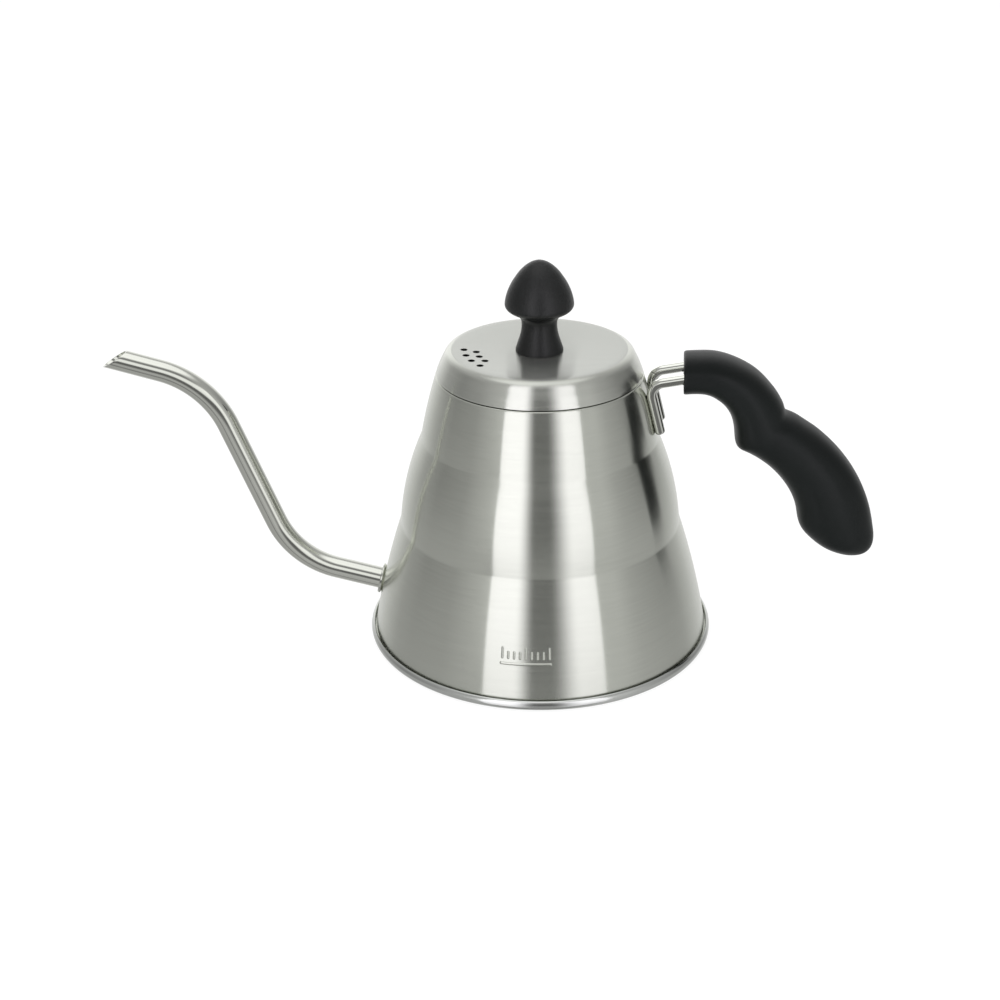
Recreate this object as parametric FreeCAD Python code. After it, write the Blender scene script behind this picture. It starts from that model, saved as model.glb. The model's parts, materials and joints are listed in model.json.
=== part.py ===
import FreeCAD, Part
import math, os
from FreeCAD import Vector as V

# Gooseneck pour-over kettle, about one litre to the brim.
# Frame: origin on the axis of the body at the plane it stands on, +Z up,
# spout towards -X, handle towards +X.  Millimetres throughout.
os.makedirs("parts", exist_ok=True)

# ---------------------------------------------------------------- dimensions
sheet = 0.7                 # wall of the spun body, the lid and the base
bead_outer_r = 70.0         # outside of the rolled bead at the foot
bead_r = 2.3                # radius of the bead's section
bead_curl_deg = 58.0        # where the curl stops, leaving a narrow groove along the wall

# outer wall: three convex tiers, (r, z) at their ends and their bulge
tier_foot = (67.85, 4.0)
crease_low = (56.2, 49.81)
crease_high = (46.93, 85.88)
tier_top = (40.42, 111.99)
bulge_low, bulge_mid, bulge_top = 0.90, 1.68, 0.42
crease_fillet = 5.0
neck_r, neck_round = 67.8, 6.0      # the lowest tier turns upright behind the bead, in a short round

ledge_z = 111.7             # seat for the lid at the top of the wall
ledge_fillet = 0.9
collar_in_r = 37.5          # turned-down collar at the mouth
collar_bottom_z = 105.5

groove_r, groove_half, groove_up = 51.5, 1.5, 0.5   # pressed ring in the base

# spout: centre line in the XZ plane
spout_od, spout_wall = 8.85, 0.6
spout_root = (-66.4, 18.63)
spout_root_deg = 13.06      # climbs at this angle out of the wall
spout_knee = (-102.2, 26.94)
spout_knee_r = 34.5
spout_rise_deg = 68.45
spout_crook = (-132.61, 103.95)
spout_crook_r = 37.75
spout_tip_deg = 14.56
spout_lip_low = (-175.9, 109.35)
spout_lip_high = (-164.21, 116.77)
spout_inside = 3.1          # how far the root starts behind the collar face
collar_od, collar_edge = 12.4, 0.4

# handle rods
rod_d = 4.0
rod_y = 7.0                 # half the distance between the two rods
rod_leg_low_z = 91.1        # where the leg ends, before its rounded tip
rod_tip, rod_tip_edge = 1.3, 1.2   # length of the tip and the rounding of its rim
rod_sink = 0.06             # depth of the welded flat on the leg
rod_bend_r = 5.2
rod_run_point = (54.9, 112.4)
rod_run_deg = 10.7
rod_arc_x = 57.0            # inside the grip the rod follows an arc
rod_arc_r = 26.0
rod_arc_deg = 60.0

# tie plate between the rods, and the screw that pulls the grip on
tie_at_deg = 82.0           # place along the rod arc, from +X
tie_len, tie_thick = 10.0, 3.0
screw_r = 2.0
grip_head_r, grip_head_h = 3.6, 2.2

# lid
# skirt, soft shoulder, then a shallow dish down to the flat seat of the knob
lid_profile = [(40.32, 112.1), (40.2, 112.7), (39.93, 113.4), (39.45, 114.6),
               (38.9, 115.95), (38.2, 117.4), (37.5, 118.8), (36.87, 120.0),
               (36.3, 120.7), (35.6, 121.2), (34.7, 121.55), (33.6, 121.74),
               (32.3, 121.8), (30.6, 121.77), (29.0, 121.72), (25.0, 121.56),
               (20.0, 121.36), (15.0, 121.15), (12.4, 121.04), (10.4, 121.0)]
lid_top_z = 121.0           # seat of the knob
lid_hole_r = 2.2
vent_r = 1.37
vents = [(29.25, 187.2), (29.25, 199.4), (29.25, 211.6), (29.25, 223.8),
         (24.65, 192.5), (24.65, 204.6), (24.65, 216.6)]
sleeve_out_r, sleeve_in_r = 37.1, 36.4
sleeve_low_z, sleeve_flange_z = 104.6, 115.6

# knob on the lid
knob_profile = [(9.37, 121.0), (9.0, 122.5), (8.48, 124.1), (7.93, 125.7),
                (7.45, 127.3), (7.1, 128.9), (6.9, 130.5), (6.86, 131.9), (6.98, 133.15),
                (7.47, 134.35), (8.52, 135.45), (9.95, 136.4), (11.45, 137.2), (12.65, 138.15),
                (13.27, 139.25), (13.3, 140.5), (13.05, 142.0), (12.65, 143.5),
                (12.15, 145.0), (11.5, 146.5), (10.75, 148.0), (9.85, 149.5),
                (8.93, 150.85), (8.0, 152.15), (7.0, 153.3), (5.85, 154.4),
                (4.5, 155.45), (3.05, 156.3), (1.5, 156.85)]
knob_top_z = 157.0
insert_r, insert_high_z = 3.5, 130.9
insert_flange_r, insert_flange_h = 4.6, 1.0
knob_screw_end_z = 129.5
washer_r, washer_h = 5.0, 0.8
pan_r, pan_h = 3.8, 2.4

# grip: upper and lower outline in the XZ plane, station by station, with
# the half width across Y; the middle stations carry the two-lobe notch
grip_stations = [
    ((55.85, 119.55), (56.05, 105.95), 11.85),
    ((56.20, 120.02), (56.40, 105.66), 12.15),
    ((57.20, 120.30), (57.30, 105.62), 12.32),
    ((60.22, 120.49), (59.91, 105.85), 12.4),
    ((67.12, 120.53), (64.97, 105.55), 12.6),
    ((73.74, 119.07), (68.71, 103.76), 12.7),
    ((78.79, 116.94), (71.32, 101.63), 12.8),
    ((83.34, 114.29), (73.40, 98.98), 12.9),
    ((86.91, 111.27), (74.79, 96.19), 13.0),
    ((89.71, 108.21), (75.70, 93.11), 13.0),
    ((92.15, 105.15), (76.29, 89.62), 13.0),
    ((93.93, 102.3), (76.71, 86.11), 13.0),
    ((94.93, 100.3), (77.38, 84.07), 13.0),
    ((95.5, 98.6), (78.63, 82.93), 13.0),
    ((96.17, 97.23), (80.20, 82.27), 13.0),
    ((98.78, 95.91), (82.91, 80.97), 13.05),
    ((103.80, 93.03), (87.50, 78.12), 13.2),
    ((108.43, 89.93), (91.28, 75.04), 13.3),
    ((112.34, 86.72), (94.42, 71.74), 13.4),
    ((115.85, 83.41), (97.05, 68.31), 13.4),
    ((121.32, 77.02), (100.16, 62.82), 13.3),
    ((125.64, 70.41), (101.97, 57.63), 13.1),
    ((128.93, 63.67), (102.97, 52.76), 12.7),
    ((131.37, 56.69), (104.55, 48.81), 12.1),
    ((132.88, 49.98), (107.97, 44.99), 11.2),
    ((133.56, 44.44), (113.35, 41.00), 9.9),
    ((132.50, 40.60), (118.30, 38.90), 7.6),
    ((130.30, 38.75), (121.90, 38.05), 5.2),
    ((128.10, 38.00), (124.70, 37.75), 2.4)]
grip_power = 2.35           # superellipse power of the section


# ---------------------------------------------------------------- helpers
def rz(p):
    return V(p[0], 0, p[1])


def xz(p, y=0.0):
    return V(p[0], y, p[1])


def line(a, b):
    return Part.makeLine(a, b)


def arc(a, m, b):
    return Part.Arc(a, m, b).toShape()


def turned(edges):
    """Solid of revolution about Z from a closed chain of edges in XZ."""
    wire = Part.Wire(Part.__sortEdges__(edges))
    return Part.Face(wire).revolve(V(0, 0, 0), V(0, 0, 1), 360)


def solid_of(shape):
    s = shape.Solids
    if len(s) == 1:
        return s[0]
    s = sorted(s, key=lambda k: -k.Volume)
    return s[0]


def circle_of(p, q, m):
    """Centre and radius of the circle through three (r, z) points."""
    ax, ay = p; bx, by = q; cx, cy = m
    d = 2 * (ax * (by - cy) + bx * (cy - ay) + cx * (ay - by))
    ux = ((ax * ax + ay * ay) * (by - cy) + (bx * bx + by * by) * (cy - ay)
          + (cx * cx + cy * cy) * (ay - by)) / d
    uy = ((ax * ax + ay * ay) * (cx - bx) + (bx * bx + by * by) * (ax - cx)
          + (cx * cx + cy * cy) * (bx - ax)) / d
    return (ux, uy), math.hypot(ax - ux, ay - uy)


def meet(c1, r1, c2, r2, near):
    """Crossing of two circles that lies nearest to a point."""
    d = math.hypot(c2[0] - c1[0], c2[1] - c1[1])
    a = (r1 * r1 - r2 * r2 + d * d) / (2 * d)
    h = math.sqrt(max(r1 * r1 - a * a, 0.0))
    ex, ey = (c2[0] - c1[0]) / d, (c2[1] - c1[1]) / d
    px, py = c1[0] + a * ex, c1[1] + a * ey
    both = [(px - h * ey, py + h * ex), (px + h * ey, py - h * ex)]
    return min(both, key=lambda k: math.hypot(k[0] - near[0], k[1] - near[1]))


def on_circle(c, r, z):
    """Outer crossing of a circle with a height."""
    return (c[0] + math.sqrt(r * r - (z - c[1]) ** 2), z)


def mid_on(c, r, p, q):
    """Middle of the arc from p to q."""
    mx, my = (p[0] + q[0]) / 2 - c[0], (p[1] + q[1]) / 2 - c[1]
    n = math.hypot(mx, my)
    return (c[0] + mx / n * r, c[1] + my / n * r)


def bulged(p, q, s):
    return ((p[0] + q[0]) / 2 + s, (p[1] + q[1]) / 2)


def spline(points, v=False):
    c = Part.BSplineCurve()
    c.interpolate([rz(p) for p in points])
    return c.toShape()


def save(shape, name):
    s = solid_of(shape)
    s.exportStep("parts/" + name + ".step")
    box = s.optimalBoundingBox()
    print("%-18s vol %9.1f  valid %s  solids %d  x %.2f..%.2f y %.2f..%.2f z %.2f..%.2f" % (
        name, s.Volume, s.isValid(), len(shape.Solids), box.XMin, box.XMax,
        box.YMin, box.YMax, box.ZMin, box.ZMax))
    return s


# ---------------------------------------------------------------- body wall
c_low, r_low = circle_of(tier_foot, crease_low, bulged(tier_foot, crease_low, bulge_low))
c_mid, r_mid = circle_of(crease_low, crease_high, bulged(crease_low, crease_high, bulge_mid))
c_top, r_top = circle_of(crease_high, tier_top, bulged(crease_high, tier_top, bulge_top))


neck_c = (neck_r - neck_round,
          c_low[1] + math.sqrt((r_low - neck_round) ** 2 - (neck_r - neck_round - c_low[0]) ** 2)
          * (1 if c_low[1] < 8.0 else -1))


def wall_edges(inset, z_top):
    """The three tiers, set in by a distance, from the neck over the bead to a height."""
    a = (neck_r - inset, neck_c[1])
    k = (r_low - inset) / math.hypot(neck_c[0] - c_low[0], neck_c[1] - c_low[1])
    n = (c_low[0] + (neck_c[0] - c_low[0]) * k, c_low[1] + (neck_c[1] - c_low[1]) * k)
    b = meet(c_low, r_low - inset, c_mid, r_mid - inset, crease_low)
    c = meet(c_mid, r_mid - inset, c_top, r_top - inset, crease_high)
    d = on_circle(c_top, r_top - inset, z_top)
    e = [arc(rz(a), rz(mid_on(neck_c, neck_round - inset, a, n)), rz(n)),
         arc(rz(n), rz(mid_on(c_low, r_low - inset, n, b)), rz(b)),
         arc(rz(b), rz(mid_on(c_mid, r_mid - inset, b, c)), rz(c)),
         arc(rz(c), rz(mid_on(c_top, r_top - inset, c, d)), rz(d))]
    return e, a, b, c, d


def ring_edges(shape, r, z, tol=0.05):
    """Circular edges of a turned solid at a given radius and height."""
    out = []
    for e in shape.Edges:
        c = e.Curve
        if isinstance(c, Part.Circle) and abs(c.Radius - r) < tol and abs(c.Center.z - z) < tol:
            out.append(e)
    return out


bead_c = (bead_outer_r - bead_r, bead_r)
curl_in = bead_r - sheet
foot_in = bead_r - sheet - 0.05

# solid inside the outer face of the wall, with the seam flange at the foot
e, a, b, c, d = wall_edges(0.0, ledge_z)
f0 = (neck_r, bead_c[1])
f1 = (bead_c[0] + foot_in, bead_c[1])
f2 = (bead_c[0], bead_c[1] - foot_in)
fm = (bead_c[0] + foot_in * math.cos(math.radians(-45)),
      bead_c[1] + foot_in * math.sin(math.radians(-45)))
foot_z = sheet
outer = turned(e + [line(rz(d), V(0, 0, ledge_z)), line(V(0, 0, ledge_z), V(0, 0, foot_z)),
                    line(V(0, 0, foot_z), V(f2[0], 0, foot_z)), line(V(f2[0], 0, foot_z), rz(f2)),
                    arc(rz(f2), rz(fm), rz(f1)), line(rz(f1), rz(f0)), line(rz(f0), rz(a))])
outer = outer.makeFillet(crease_fillet, ring_edges(outer, b[0], b[1]) + ring_edges(outer, c[0], c[1]))
outer = outer.makeFillet(ledge_fillet, ring_edges(outer, d[0], d[1]))

# hollow of the body below the ledge
e, a, b, c, d = wall_edges(sheet, ledge_z - sheet)
hollow = turned(e + [line(rz(d), V(0, 0, ledge_z - sheet)),
                     line(V(0, 0, ledge_z - sheet), V(0, 0, foot_z)),
                     line(V(0, 0, foot_z), V(a[0], 0, foot_z)), line(V(a[0], 0, foot_z), rz(a))])
hollow = hollow.makeFillet(crease_fillet + sheet,
                           ring_edges(hollow, b[0], b[1]) + ring_edges(hollow, c[0], c[1]))
# the turned-down collar stays, so it is taken out of the hollow
collar_ring = Part.makeCylinder(collar_in_r + sheet, ledge_z - collar_bottom_z,
                                V(0, 0, collar_bottom_z)).cut(
    Part.makeCylinder(collar_in_r, 40, V(0, 0, collar_bottom_z - 10)))
mouth = Part.makeCylinder(collar_in_r, 30, V(0, 0, 95))
body = outer.cut(hollow.cut(collar_ring)).cut(mouth)
body = body.makeFillet(0.6, ring_edges(body, collar_in_r, ledge_z))

# ---------------------------------------------------------------- spout path
def unit(deg):
    return (-math.cos(math.radians(deg)), math.sin(math.radians(deg)))


def step(p, u, s):
    return (p[0] + u[0] * s, p[1] + u[1] * s)


uA, uB, uC = unit(spout_root_deg), unit(spout_rise_deg), unit(spout_tip_deg)
t1 = spout_knee_r * math.tan(math.radians((spout_rise_deg - spout_root_deg) / 2))
t2 = spout_crook_r * math.tan(math.radians((spout_rise_deg - spout_tip_deg) / 2))
sA = step(spout_root, uA, -spout_inside)
k0, k1 = step(spout_knee, uA, -t1), step(spout_knee, uB, t1)
q0, q1 = step(spout_crook, uB, -t2), step(spout_crook, uC, t2)
tip_end = step(q1, uC, 40.0)


def arc_mid(corner, p, q, r):
    """Middle of the rounding at a corner of the path."""
    mx, my = (p[0] + q[0]) / 2, (p[1] + q[1]) / 2
    dx, dy = corner[0] - mx, corner[1] - my
    n = math.hypot(dx, dy)
    half = math.hypot(p[0] - mx, p[1] - my)
    sag = r - math.sqrt(r * r - half * half)
    return (mx + dx / n * sag, my + dy / n * sag)


def pipe(radius, start):
    path = Part.Wire([line(xz(start), xz(k0)),
                      arc(xz(k0), xz(arc_mid(spout_knee, k0, k1, spout_knee_r)), xz(k1)),
                      line(xz(k1), xz(q0)),
                      arc(xz(q0), xz(arc_mid(spout_crook, q0, q1, spout_crook_r)), xz(q1)),
                      line(xz(q1), xz(tip_end))])
    ring = Part.Wire([Part.makeCircle(radius, xz(start), V(uA[0], 0, uA[1]))])
    return path.makePipeShell([ring], True, False)


tube = solid_of(pipe(spout_od / 2, sA)).cut(solid_of(pipe(spout_od / 2 - spout_wall, step(sA, uA, -1.0))))
# slanted cut through both lips: keep what lies behind the plane
lx, lz = spout_lip_high[0] - spout_lip_low[0], spout_lip_high[1] - spout_lip_low[1]
ln = math.hypot(lx, lz)
across = V(lx / ln, 0, lz / ln)
ahead = V(-lz / ln, 0, lx / ln)
cutter = Part.makeBox(60, 60, 60)
cutter.Placement = FreeCAD.Placement(
    xz(spout_lip_low) - across * 25 - V(0, 30, 0),
    FreeCAD.Rotation(across, V(0, 1, 0), ahead, "XYZ"))
tube = tube.cut(cutter)
spout = save(tube, "spout_tube")

# hole for the spout through the wall
hole = Part.makeCylinder(spout_od / 2 + 0.03, 16, xz(step(spout_root, uA, -9)), V(uA[0], 0, uA[1]))
body = body.cut(hole)
body = save(body, "body_shell")

# collar ring at the root, its back shaped to the wall
ring = Part.makeCylinder(collar_od / 2, 6, xz(step(spout_root, uA, -6)), V(uA[0], 0, uA[1]))
front_edges = [ed for ed in ring.Edges if isinstance(ed.Curve, Part.Circle)
               and (ed.Curve.Center - xz(spout_root)).Length < 0.1]
ring = ring.makeFillet(collar_edge, front_edges)
ring = ring.cut(Part.makeCylinder(spout_od / 2 + 0.03, 16, xz(step(spout_root, uA, -9)), V(uA[0], 0, uA[1])))
ring = ring.cut(outer)
save(ring, "spout_collar")

# ---------------------------------------------------------------- base plate
a0, a1 = math.radians(-90), math.radians(bead_curl_deg)


def bead_pt(r, ang):
    return V(bead_c[0] + r * math.cos(ang), 0, bead_c[1] + r * math.sin(ang))


g0, g1 = groove_r - groove_half, groove_r + groove_half
low = [V(0, 0, 0), V(g0 - 1, 0, 0), V(g0, 0, groove_up), V(g1, 0, groove_up), V(g1 + 1, 0, 0), bead_pt(bead_r, a0)]
high = [bead_pt(curl_in, a0), V(g1 + 1, 0, sheet), V(g1, 0, sheet + groove_up), V(g0, 0, sheet + groove_up),
        V(g0 - 1, 0, sheet), V(0, 0, sheet)]
edges = [line(low[i], low[i + 1]) for i in range(len(low) - 1)]
edges.append(arc(bead_pt(bead_r, a0), bead_pt(bead_r, (a0 + a1) / 2), bead_pt(bead_r, a1)))
edges.append(line(bead_pt(bead_r, a1), bead_pt(curl_in, a1)))
edges.append(arc(bead_pt(curl_in, a1), bead_pt(curl_in, (a0 + a1) / 2), bead_pt(curl_in, a0)))
edges += [line(high[i], high[i + 1]) for i in range(len(high) - 1)]
edges.append(line(high[-1], low[0]))
save(turned(edges), "base_plate")

# ---------------------------------------------------------------- handle rods
def wall_x(z):
    """Outer face of the top tier in the plane of a rod."""
    r = on_circle(c_top, r_top, z)[0]
    return math.sqrt(r * r - rod_y * rod_y)


za, zb = rod_leg_low_z, 105.0
# the leg lies along the wall: its axis stands off by the rod's radius less
# the welded flat, measured square to the wall
slope = (wall_x(zb) - wall_x(za)) / (zb - za)
r_here = on_circle(c_top, r_top, (za + zb) / 2)[0]
stand = (rod_d / 2 - rod_sink) * math.sqrt(1 + slope * slope) * r_here / math.sqrt(r_here ** 2 - rod_y ** 2)
leg_a = (wall_x(za) + stand, za)
leg_b = (wall_x(zb) + stand, zb)
ul = (leg_b[0] - leg_a[0], leg_b[1] - leg_a[1])
nl = math.hypot(*ul)
ul = (ul[0] / nl, ul[1] / nl)
ur = (math.cos(math.radians(rod_run_deg)), math.sin(math.radians(rod_run_deg)))
# corner of the leg and the run towards the grip
den = ul[0] * ur[1] - ul[1] * ur[0]
wx, wz = rod_run_point[0] - leg_a[0], rod_run_point[1] - leg_a[1]
s_leg = (wx * ur[1] - wz * ur[0]) / den
corner = step(leg_a, ul, s_leg)
turn = math.acos(ul[0] * ur[0] + ul[1] * ur[1])
tb = rod_bend_r * math.tan(turn / 2)
b0, b1 = step(corner, ul, -tb), step(corner, ur, tb)
# run, then the arc inside the grip
arc_start = step(rod_run_point, ur, (rod_arc_x - rod_run_point[0]) / ur[0])
arc_c = (arc_start[0] + rod_arc_r * ur[1], arc_start[1] - rod_arc_r * ur[0])


def on_arc(deg, r=rod_arc_r):
    return (arc_c[0] + r * math.cos(math.radians(deg)), arc_c[1] + r * math.sin(math.radians(deg)))


start_deg = 90 + rod_run_deg
end_deg = start_deg - rod_arc_deg


def rod(y, radius=rod_d / 2, tipped=True):
    path = Part.Wire([line(xz(leg_a, y), xz(b0, y)),
                      arc(xz(b0, y), xz(arc_mid(corner, b0, b1, rod_bend_r), y), xz(b1, y)),
                      line(xz(b1, y), xz(arc_start, y)),
                      arc(xz(arc_start, y), xz(on_arc((start_deg + end_deg) / 2), y), xz(on_arc(end_deg), y))])
    prof = Part.Wire([Part.makeCircle(radius, xz(leg_a, y), V(ul[0], 0, ul[1]))])
    body_ = solid_of(path.makePipeShell([prof], True, False))
    if tipped:
        tip = Part.makeCylinder(radius, rod_tip, xz(leg_a, y), V(-ul[0], 0, -ul[1]))
        end = xz(step(leg_a, ul, -rod_tip), y)
        tip = tip.makeFillet(rod_tip_edge, [ed for ed in tip.Edges if isinstance(ed.Curve, Part.Circle)
                                            and (ed.Curve.Center - end).Length < 0.05])
        body_ = body_.fuse(tip).removeSplitter()
    return body_


rods = {}
for name, y in (("handle_rod_front", -rod_y), ("handle_rod_back", rod_y)):
    rods[name] = save(rod(y).cut(outer), name)

# ---------------------------------------------------------------- tie plate
tie_c = on_arc(tie_at_deg)
tie_n = (math.cos(math.radians(tie_at_deg)), math.sin(math.radians(tie_at_deg)))  # away from the arc's centre
tie_t = (tie_n[1], -tie_n[0])                                                   # along the rods


def in_tie(length, width, thick, along=0.0, out=0.0):
    """Box in the tie plate's own axes: along the rods, across, outward."""
    bx = Part.makeBox(length, width, thick, V(-length / 2, -width / 2, -thick / 2))
    bx.Placement = FreeCAD.Placement(
        V(tie_c[0] + tie_t[0] * along + tie_n[0] * out, 0, tie_c[1] + tie_t[1] * along + tie_n[1] * out),
        FreeCAD.Rotation(V(tie_t[0], 0, tie_t[1]), V(0, 1, 0), V(tie_n[0], 0, tie_n[1]), "XYZ"))
    return bx


def along_n(radius, lo, hi):
    """Cylinder on the screw's axis, from lo to hi outward of the plate's middle."""
    return Part.makeCylinder(radius, hi - lo, V(tie_c[0] + tie_n[0] * lo, 0, tie_c[1] + tie_n[1] * lo),
                             V(tie_n[0], 0, tie_n[1]))


plate = in_tie(tie_len, 2 * rod_y - 0.6, tie_thick)
plate = plate.cut(rods["handle_rod_front"]).cut(rods["handle_rod_back"])
plate = plate.cut(along_n(screw_r, -5, 5))
plate = save(plate, "handle_tie_plate")

# ---------------------------------------------------------------- grip
def section(up, dn, half):
    """Closed superellipse across the grip from the upper to the lower point."""
    mx, mz = (up[0] + dn[0]) / 2, (up[1] + dn[1]) / 2
    hx, hz = (up[0] - dn[0]) / 2, (up[1] - dn[1]) / 2
    pts = []
    n = 28
    for i in range(n):
        t = 2 * math.pi * i / n
        cs, sn = math.cos(t), math.sin(t)
        u = math.copysign(abs(cs) ** (2 / grip_power), cs)
        w = math.copysign(abs(sn) ** (2 / grip_power), sn)
        pts.append(V(mx + hx * u, half * w, mz + hz * u))
    curve = Part.BSplineCurve()
    curve.interpolate(pts, PeriodicFlag=True)
    return Part.Wire([curve.toShape()])


grip = Part.makeLoft([section(*s) for s in grip_stations], True, False)
grip = solid_of(grip)
# sockets for the rods, the slot that lets the tie plate in from the front, and
# the screw's counterbore from below
for y in (-rod_y, rod_y):
    grip = grip.cut(rod(y, rod_d / 2 + 0.03, False))
    grip = grip.cut(Part.makeSphere(rod_d / 2 + 0.03, xz(on_arc(end_deg), y)))
slot_in = math.degrees(tie_len / 2 / rod_arc_r)
w0, w1 = rod_arc_r - tie_thick / 2 - 0.6, rod_arc_r + tie_thick / 2 + 0.6
lo_deg = tie_at_deg - slot_in - 1.5
hi_deg = start_deg + 4.0
wedge_edges = [arc(xz(on_arc(lo_deg, w0)), xz(on_arc((lo_deg + hi_deg) / 2, w0)), xz(on_arc(hi_deg, w0))),
               line(xz(on_arc(hi_deg, w0)), xz(on_arc(hi_deg, w1))),
               arc(xz(on_arc(hi_deg, w1)), xz(on_arc((lo_deg + hi_deg) / 2, w1)), xz(on_arc(lo_deg, w1))),
               line(xz(on_arc(lo_deg, w1)), xz(on_arc(lo_deg, w0)))]
slot = Part.Face(Part.Wire(Part.__sortEdges__(wedge_edges))).extrude(V(0, 2 * rod_y, 0))
slot.translate(V(0, -rod_y, 0))
grip = grip.cut(slot)
head_seat = -4.4            # from the plate's middle down to the seat of the head
grip = grip.cut(along_n(screw_r + 0.2, -30, tie_thick / 2 + 2.6))
grip = grip.cut(along_n(grip_head_r + 0.3, -30, head_seat))
grip = save(grip, "grip")

# screw from below: pan head in the counterbore, shank through the plate
head = along_n(grip_head_r, head_seat - grip_head_h, head_seat)
far = [ed for ed in head.Edges if isinstance(ed.Curve, Part.Circle) and
       (ed.Curve.Center - V(tie_c[0] + tie_n[0] * (head_seat - grip_head_h), 0,
                            tie_c[1] + tie_n[1] * (head_seat - grip_head_h))).Length < 0.05]
head = head.makeFillet(0.9, far)


def cross_slot(length, width, depth, lo):
    """Cross recess cut into a head from its outer face."""
    one = in_tie(length, width, depth, 0, lo + depth / 2)
    two = in_tie(width, length, depth, 0, lo + depth / 2)
    return one.fuse(two)


head = head.cut(cross_slot(3.8, 0.9, 1.3, head_seat - grip_head_h))
g_screw = head.fuse(along_n(screw_r, head_seat - 0.1, tie_thick / 2 + 1.6)).removeSplitter()
save(g_screw, "grip_screw")

# ---------------------------------------------------------------- lid
lid_in = [(r, z) for r, z in lid_profile]


def offset_in(pts, t):
    """Points moved in along the left-hand normal of the chain."""
    out = []
    for i, (r, z) in enumerate(pts):
        p = pts[max(i - 1, 0)]
        q = pts[min(i + 1, len(pts) - 1)]
        dx, dz = q[0] - p[0], q[1] - p[1]
        n = math.hypot(dx, dz)
        out.append((r - dz / n * t, z + dx / n * t))
    return out


under = offset_in(lid_profile, sheet)
under[0] = (lid_profile[0][0] - sheet, lid_profile[0][1])
under[-1] = (under[-1][0], lid_top_z - sheet)
lid_outer = spline(lid_profile)
lid_under = spline(under)
lid_edges = [lid_outer, line(rz(lid_profile[-1]), V(lid_hole_r, 0, lid_top_z)),
             line(V(lid_hole_r, 0, lid_top_z), V(lid_hole_r, 0, lid_top_z - sheet)),
             line(V(lid_hole_r, 0, lid_top_z - sheet), rz(under[-1])), lid_under,
             line(rz(under[0]), rz(lid_profile[0]))]
lid = turned(lid_edges)
for r, deg in vents:
    lid = lid.cut(Part.makeCylinder(vent_r, 6, V(r * math.cos(math.radians(deg)), r * math.sin(math.radians(deg)),
                                                 lid_top_z - 3)))
lid = save(lid, "lid_shell")

# sleeve with a turned-out flange that meets the inside of the skirt
lid_hollow = turned([lid_under, line(rz(under[-1]), V(0, 0, lid_top_z - sheet)),
                     line(V(0, 0, lid_top_z - sheet), V(0, 0, under[0][1])),
                     line(V(0, 0, under[0][1]), rz(under[0]))])
lid_hollow = lid_hollow.fuse(Part.makeCylinder(under[0][0], 20, V(0, 0, under[0][1] - 20)))
sleeve = turned([line(V(sleeve_in_r, 0, sleeve_low_z), V(sleeve_out_r, 0, sleeve_low_z)),
                 line(V(sleeve_out_r, 0, sleeve_low_z), V(sleeve_out_r, 0, sleeve_flange_z)),
                 line(V(sleeve_out_r, 0, sleeve_flange_z), V(40.5, 0, sleeve_flange_z)),
                 line(V(40.5, 0, sleeve_flange_z), V(40.5, 0, sleeve_flange_z + sheet)),
                 line(V(40.5, 0, sleeve_flange_z + sheet), V(sleeve_in_r, 0, sleeve_flange_z + sheet)),
                 line(V(sleeve_in_r, 0, sleeve_flange_z + sheet), V(sleeve_in_r, 0, sleeve_low_z))])
sleeve = sleeve.makeFillet(0.9, ring_edges(sleeve, sleeve_in_r, sleeve_flange_z + sheet))
save(sleeve.common(lid_hollow), "lid_sleeve")

# ---------------------------------------------------------------- knob
top = (0.0, knob_top_z)
curve = Part.BSplineCurve()
curve.interpolate([rz(p) for p in knob_profile + [top]],
                  InitialTangent=V(-0.1, 0, 1), FinalTangent=V(-1, 0, 0))
knob_curve = curve.toShape()
knob = turned([knob_curve, line(rz(top), V(0, 0, lid_top_z)), line(V(0, 0, lid_top_z), rz(knob_profile[0]))])

# insert: flanged bush with two grooves that key it in the moulding
i_lo, i_hi = lid_top_z, insert_high_z
bush = Part.makeCylinder(insert_flange_r, insert_flange_h, V(0, 0, i_lo)).fuse(
    Part.makeCylinder(insert_r, i_hi - i_lo, V(0, 0, i_lo))).removeSplitter()
for zg in (i_lo + 3.0, i_lo + 6.2):
    groove = Part.makeCylinder(insert_r + 2, 1.0, V(0, 0, zg)).cut(Part.makeCylinder(insert_r - 0.5, 1.0, V(0, 0, zg)))
    bush = bush.cut(groove)
knob = knob.cut(bush)
bore = Part.makeCylinder(screw_r, 30, V(0, 0, i_lo - 5))
bush = bush.cut(bore)
# the screw's bore ends blind inside the moulding
knob = knob.cut(Part.makeCylinder(screw_r, insert_high_z - i_lo, V(0, 0, i_lo)))
save(bush, "knob_insert")
save(knob, "knob")

w_hi = lid_top_z - sheet
w_lo = w_hi - washer_h
save(Part.makeCylinder(washer_r, washer_h, V(0, 0, w_lo)).cut(Part.makeCylinder(screw_r + 0.15, 10, V(0, 0, w_lo - 5))),
     "knob_washer")

pan = Part.makeCylinder(pan_r, pan_h, V(0, 0, w_lo - pan_h))
pan = pan.makeFillet(1.1, ring_edges(pan, pan_r, w_lo - pan_h))
for ang in (0, 90):
    s = Part.makeBox(4.2, 1.0, 1.4, V(-2.1, -0.5, w_lo - pan_h))
    s.rotate(V(0, 0, 0), V(0, 0, 1), ang)
    pan = pan.cut(s)
pan = pan.fuse(Part.makeCylinder(screw_r, knob_screw_end_z - w_lo + 0.1, V(0, 0, w_lo - 0.1))).removeSplitter()
save(pan, "knob_screw")
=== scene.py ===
import bpy, bmesh, json, math
from mathutils import Matrix, Vector

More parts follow.
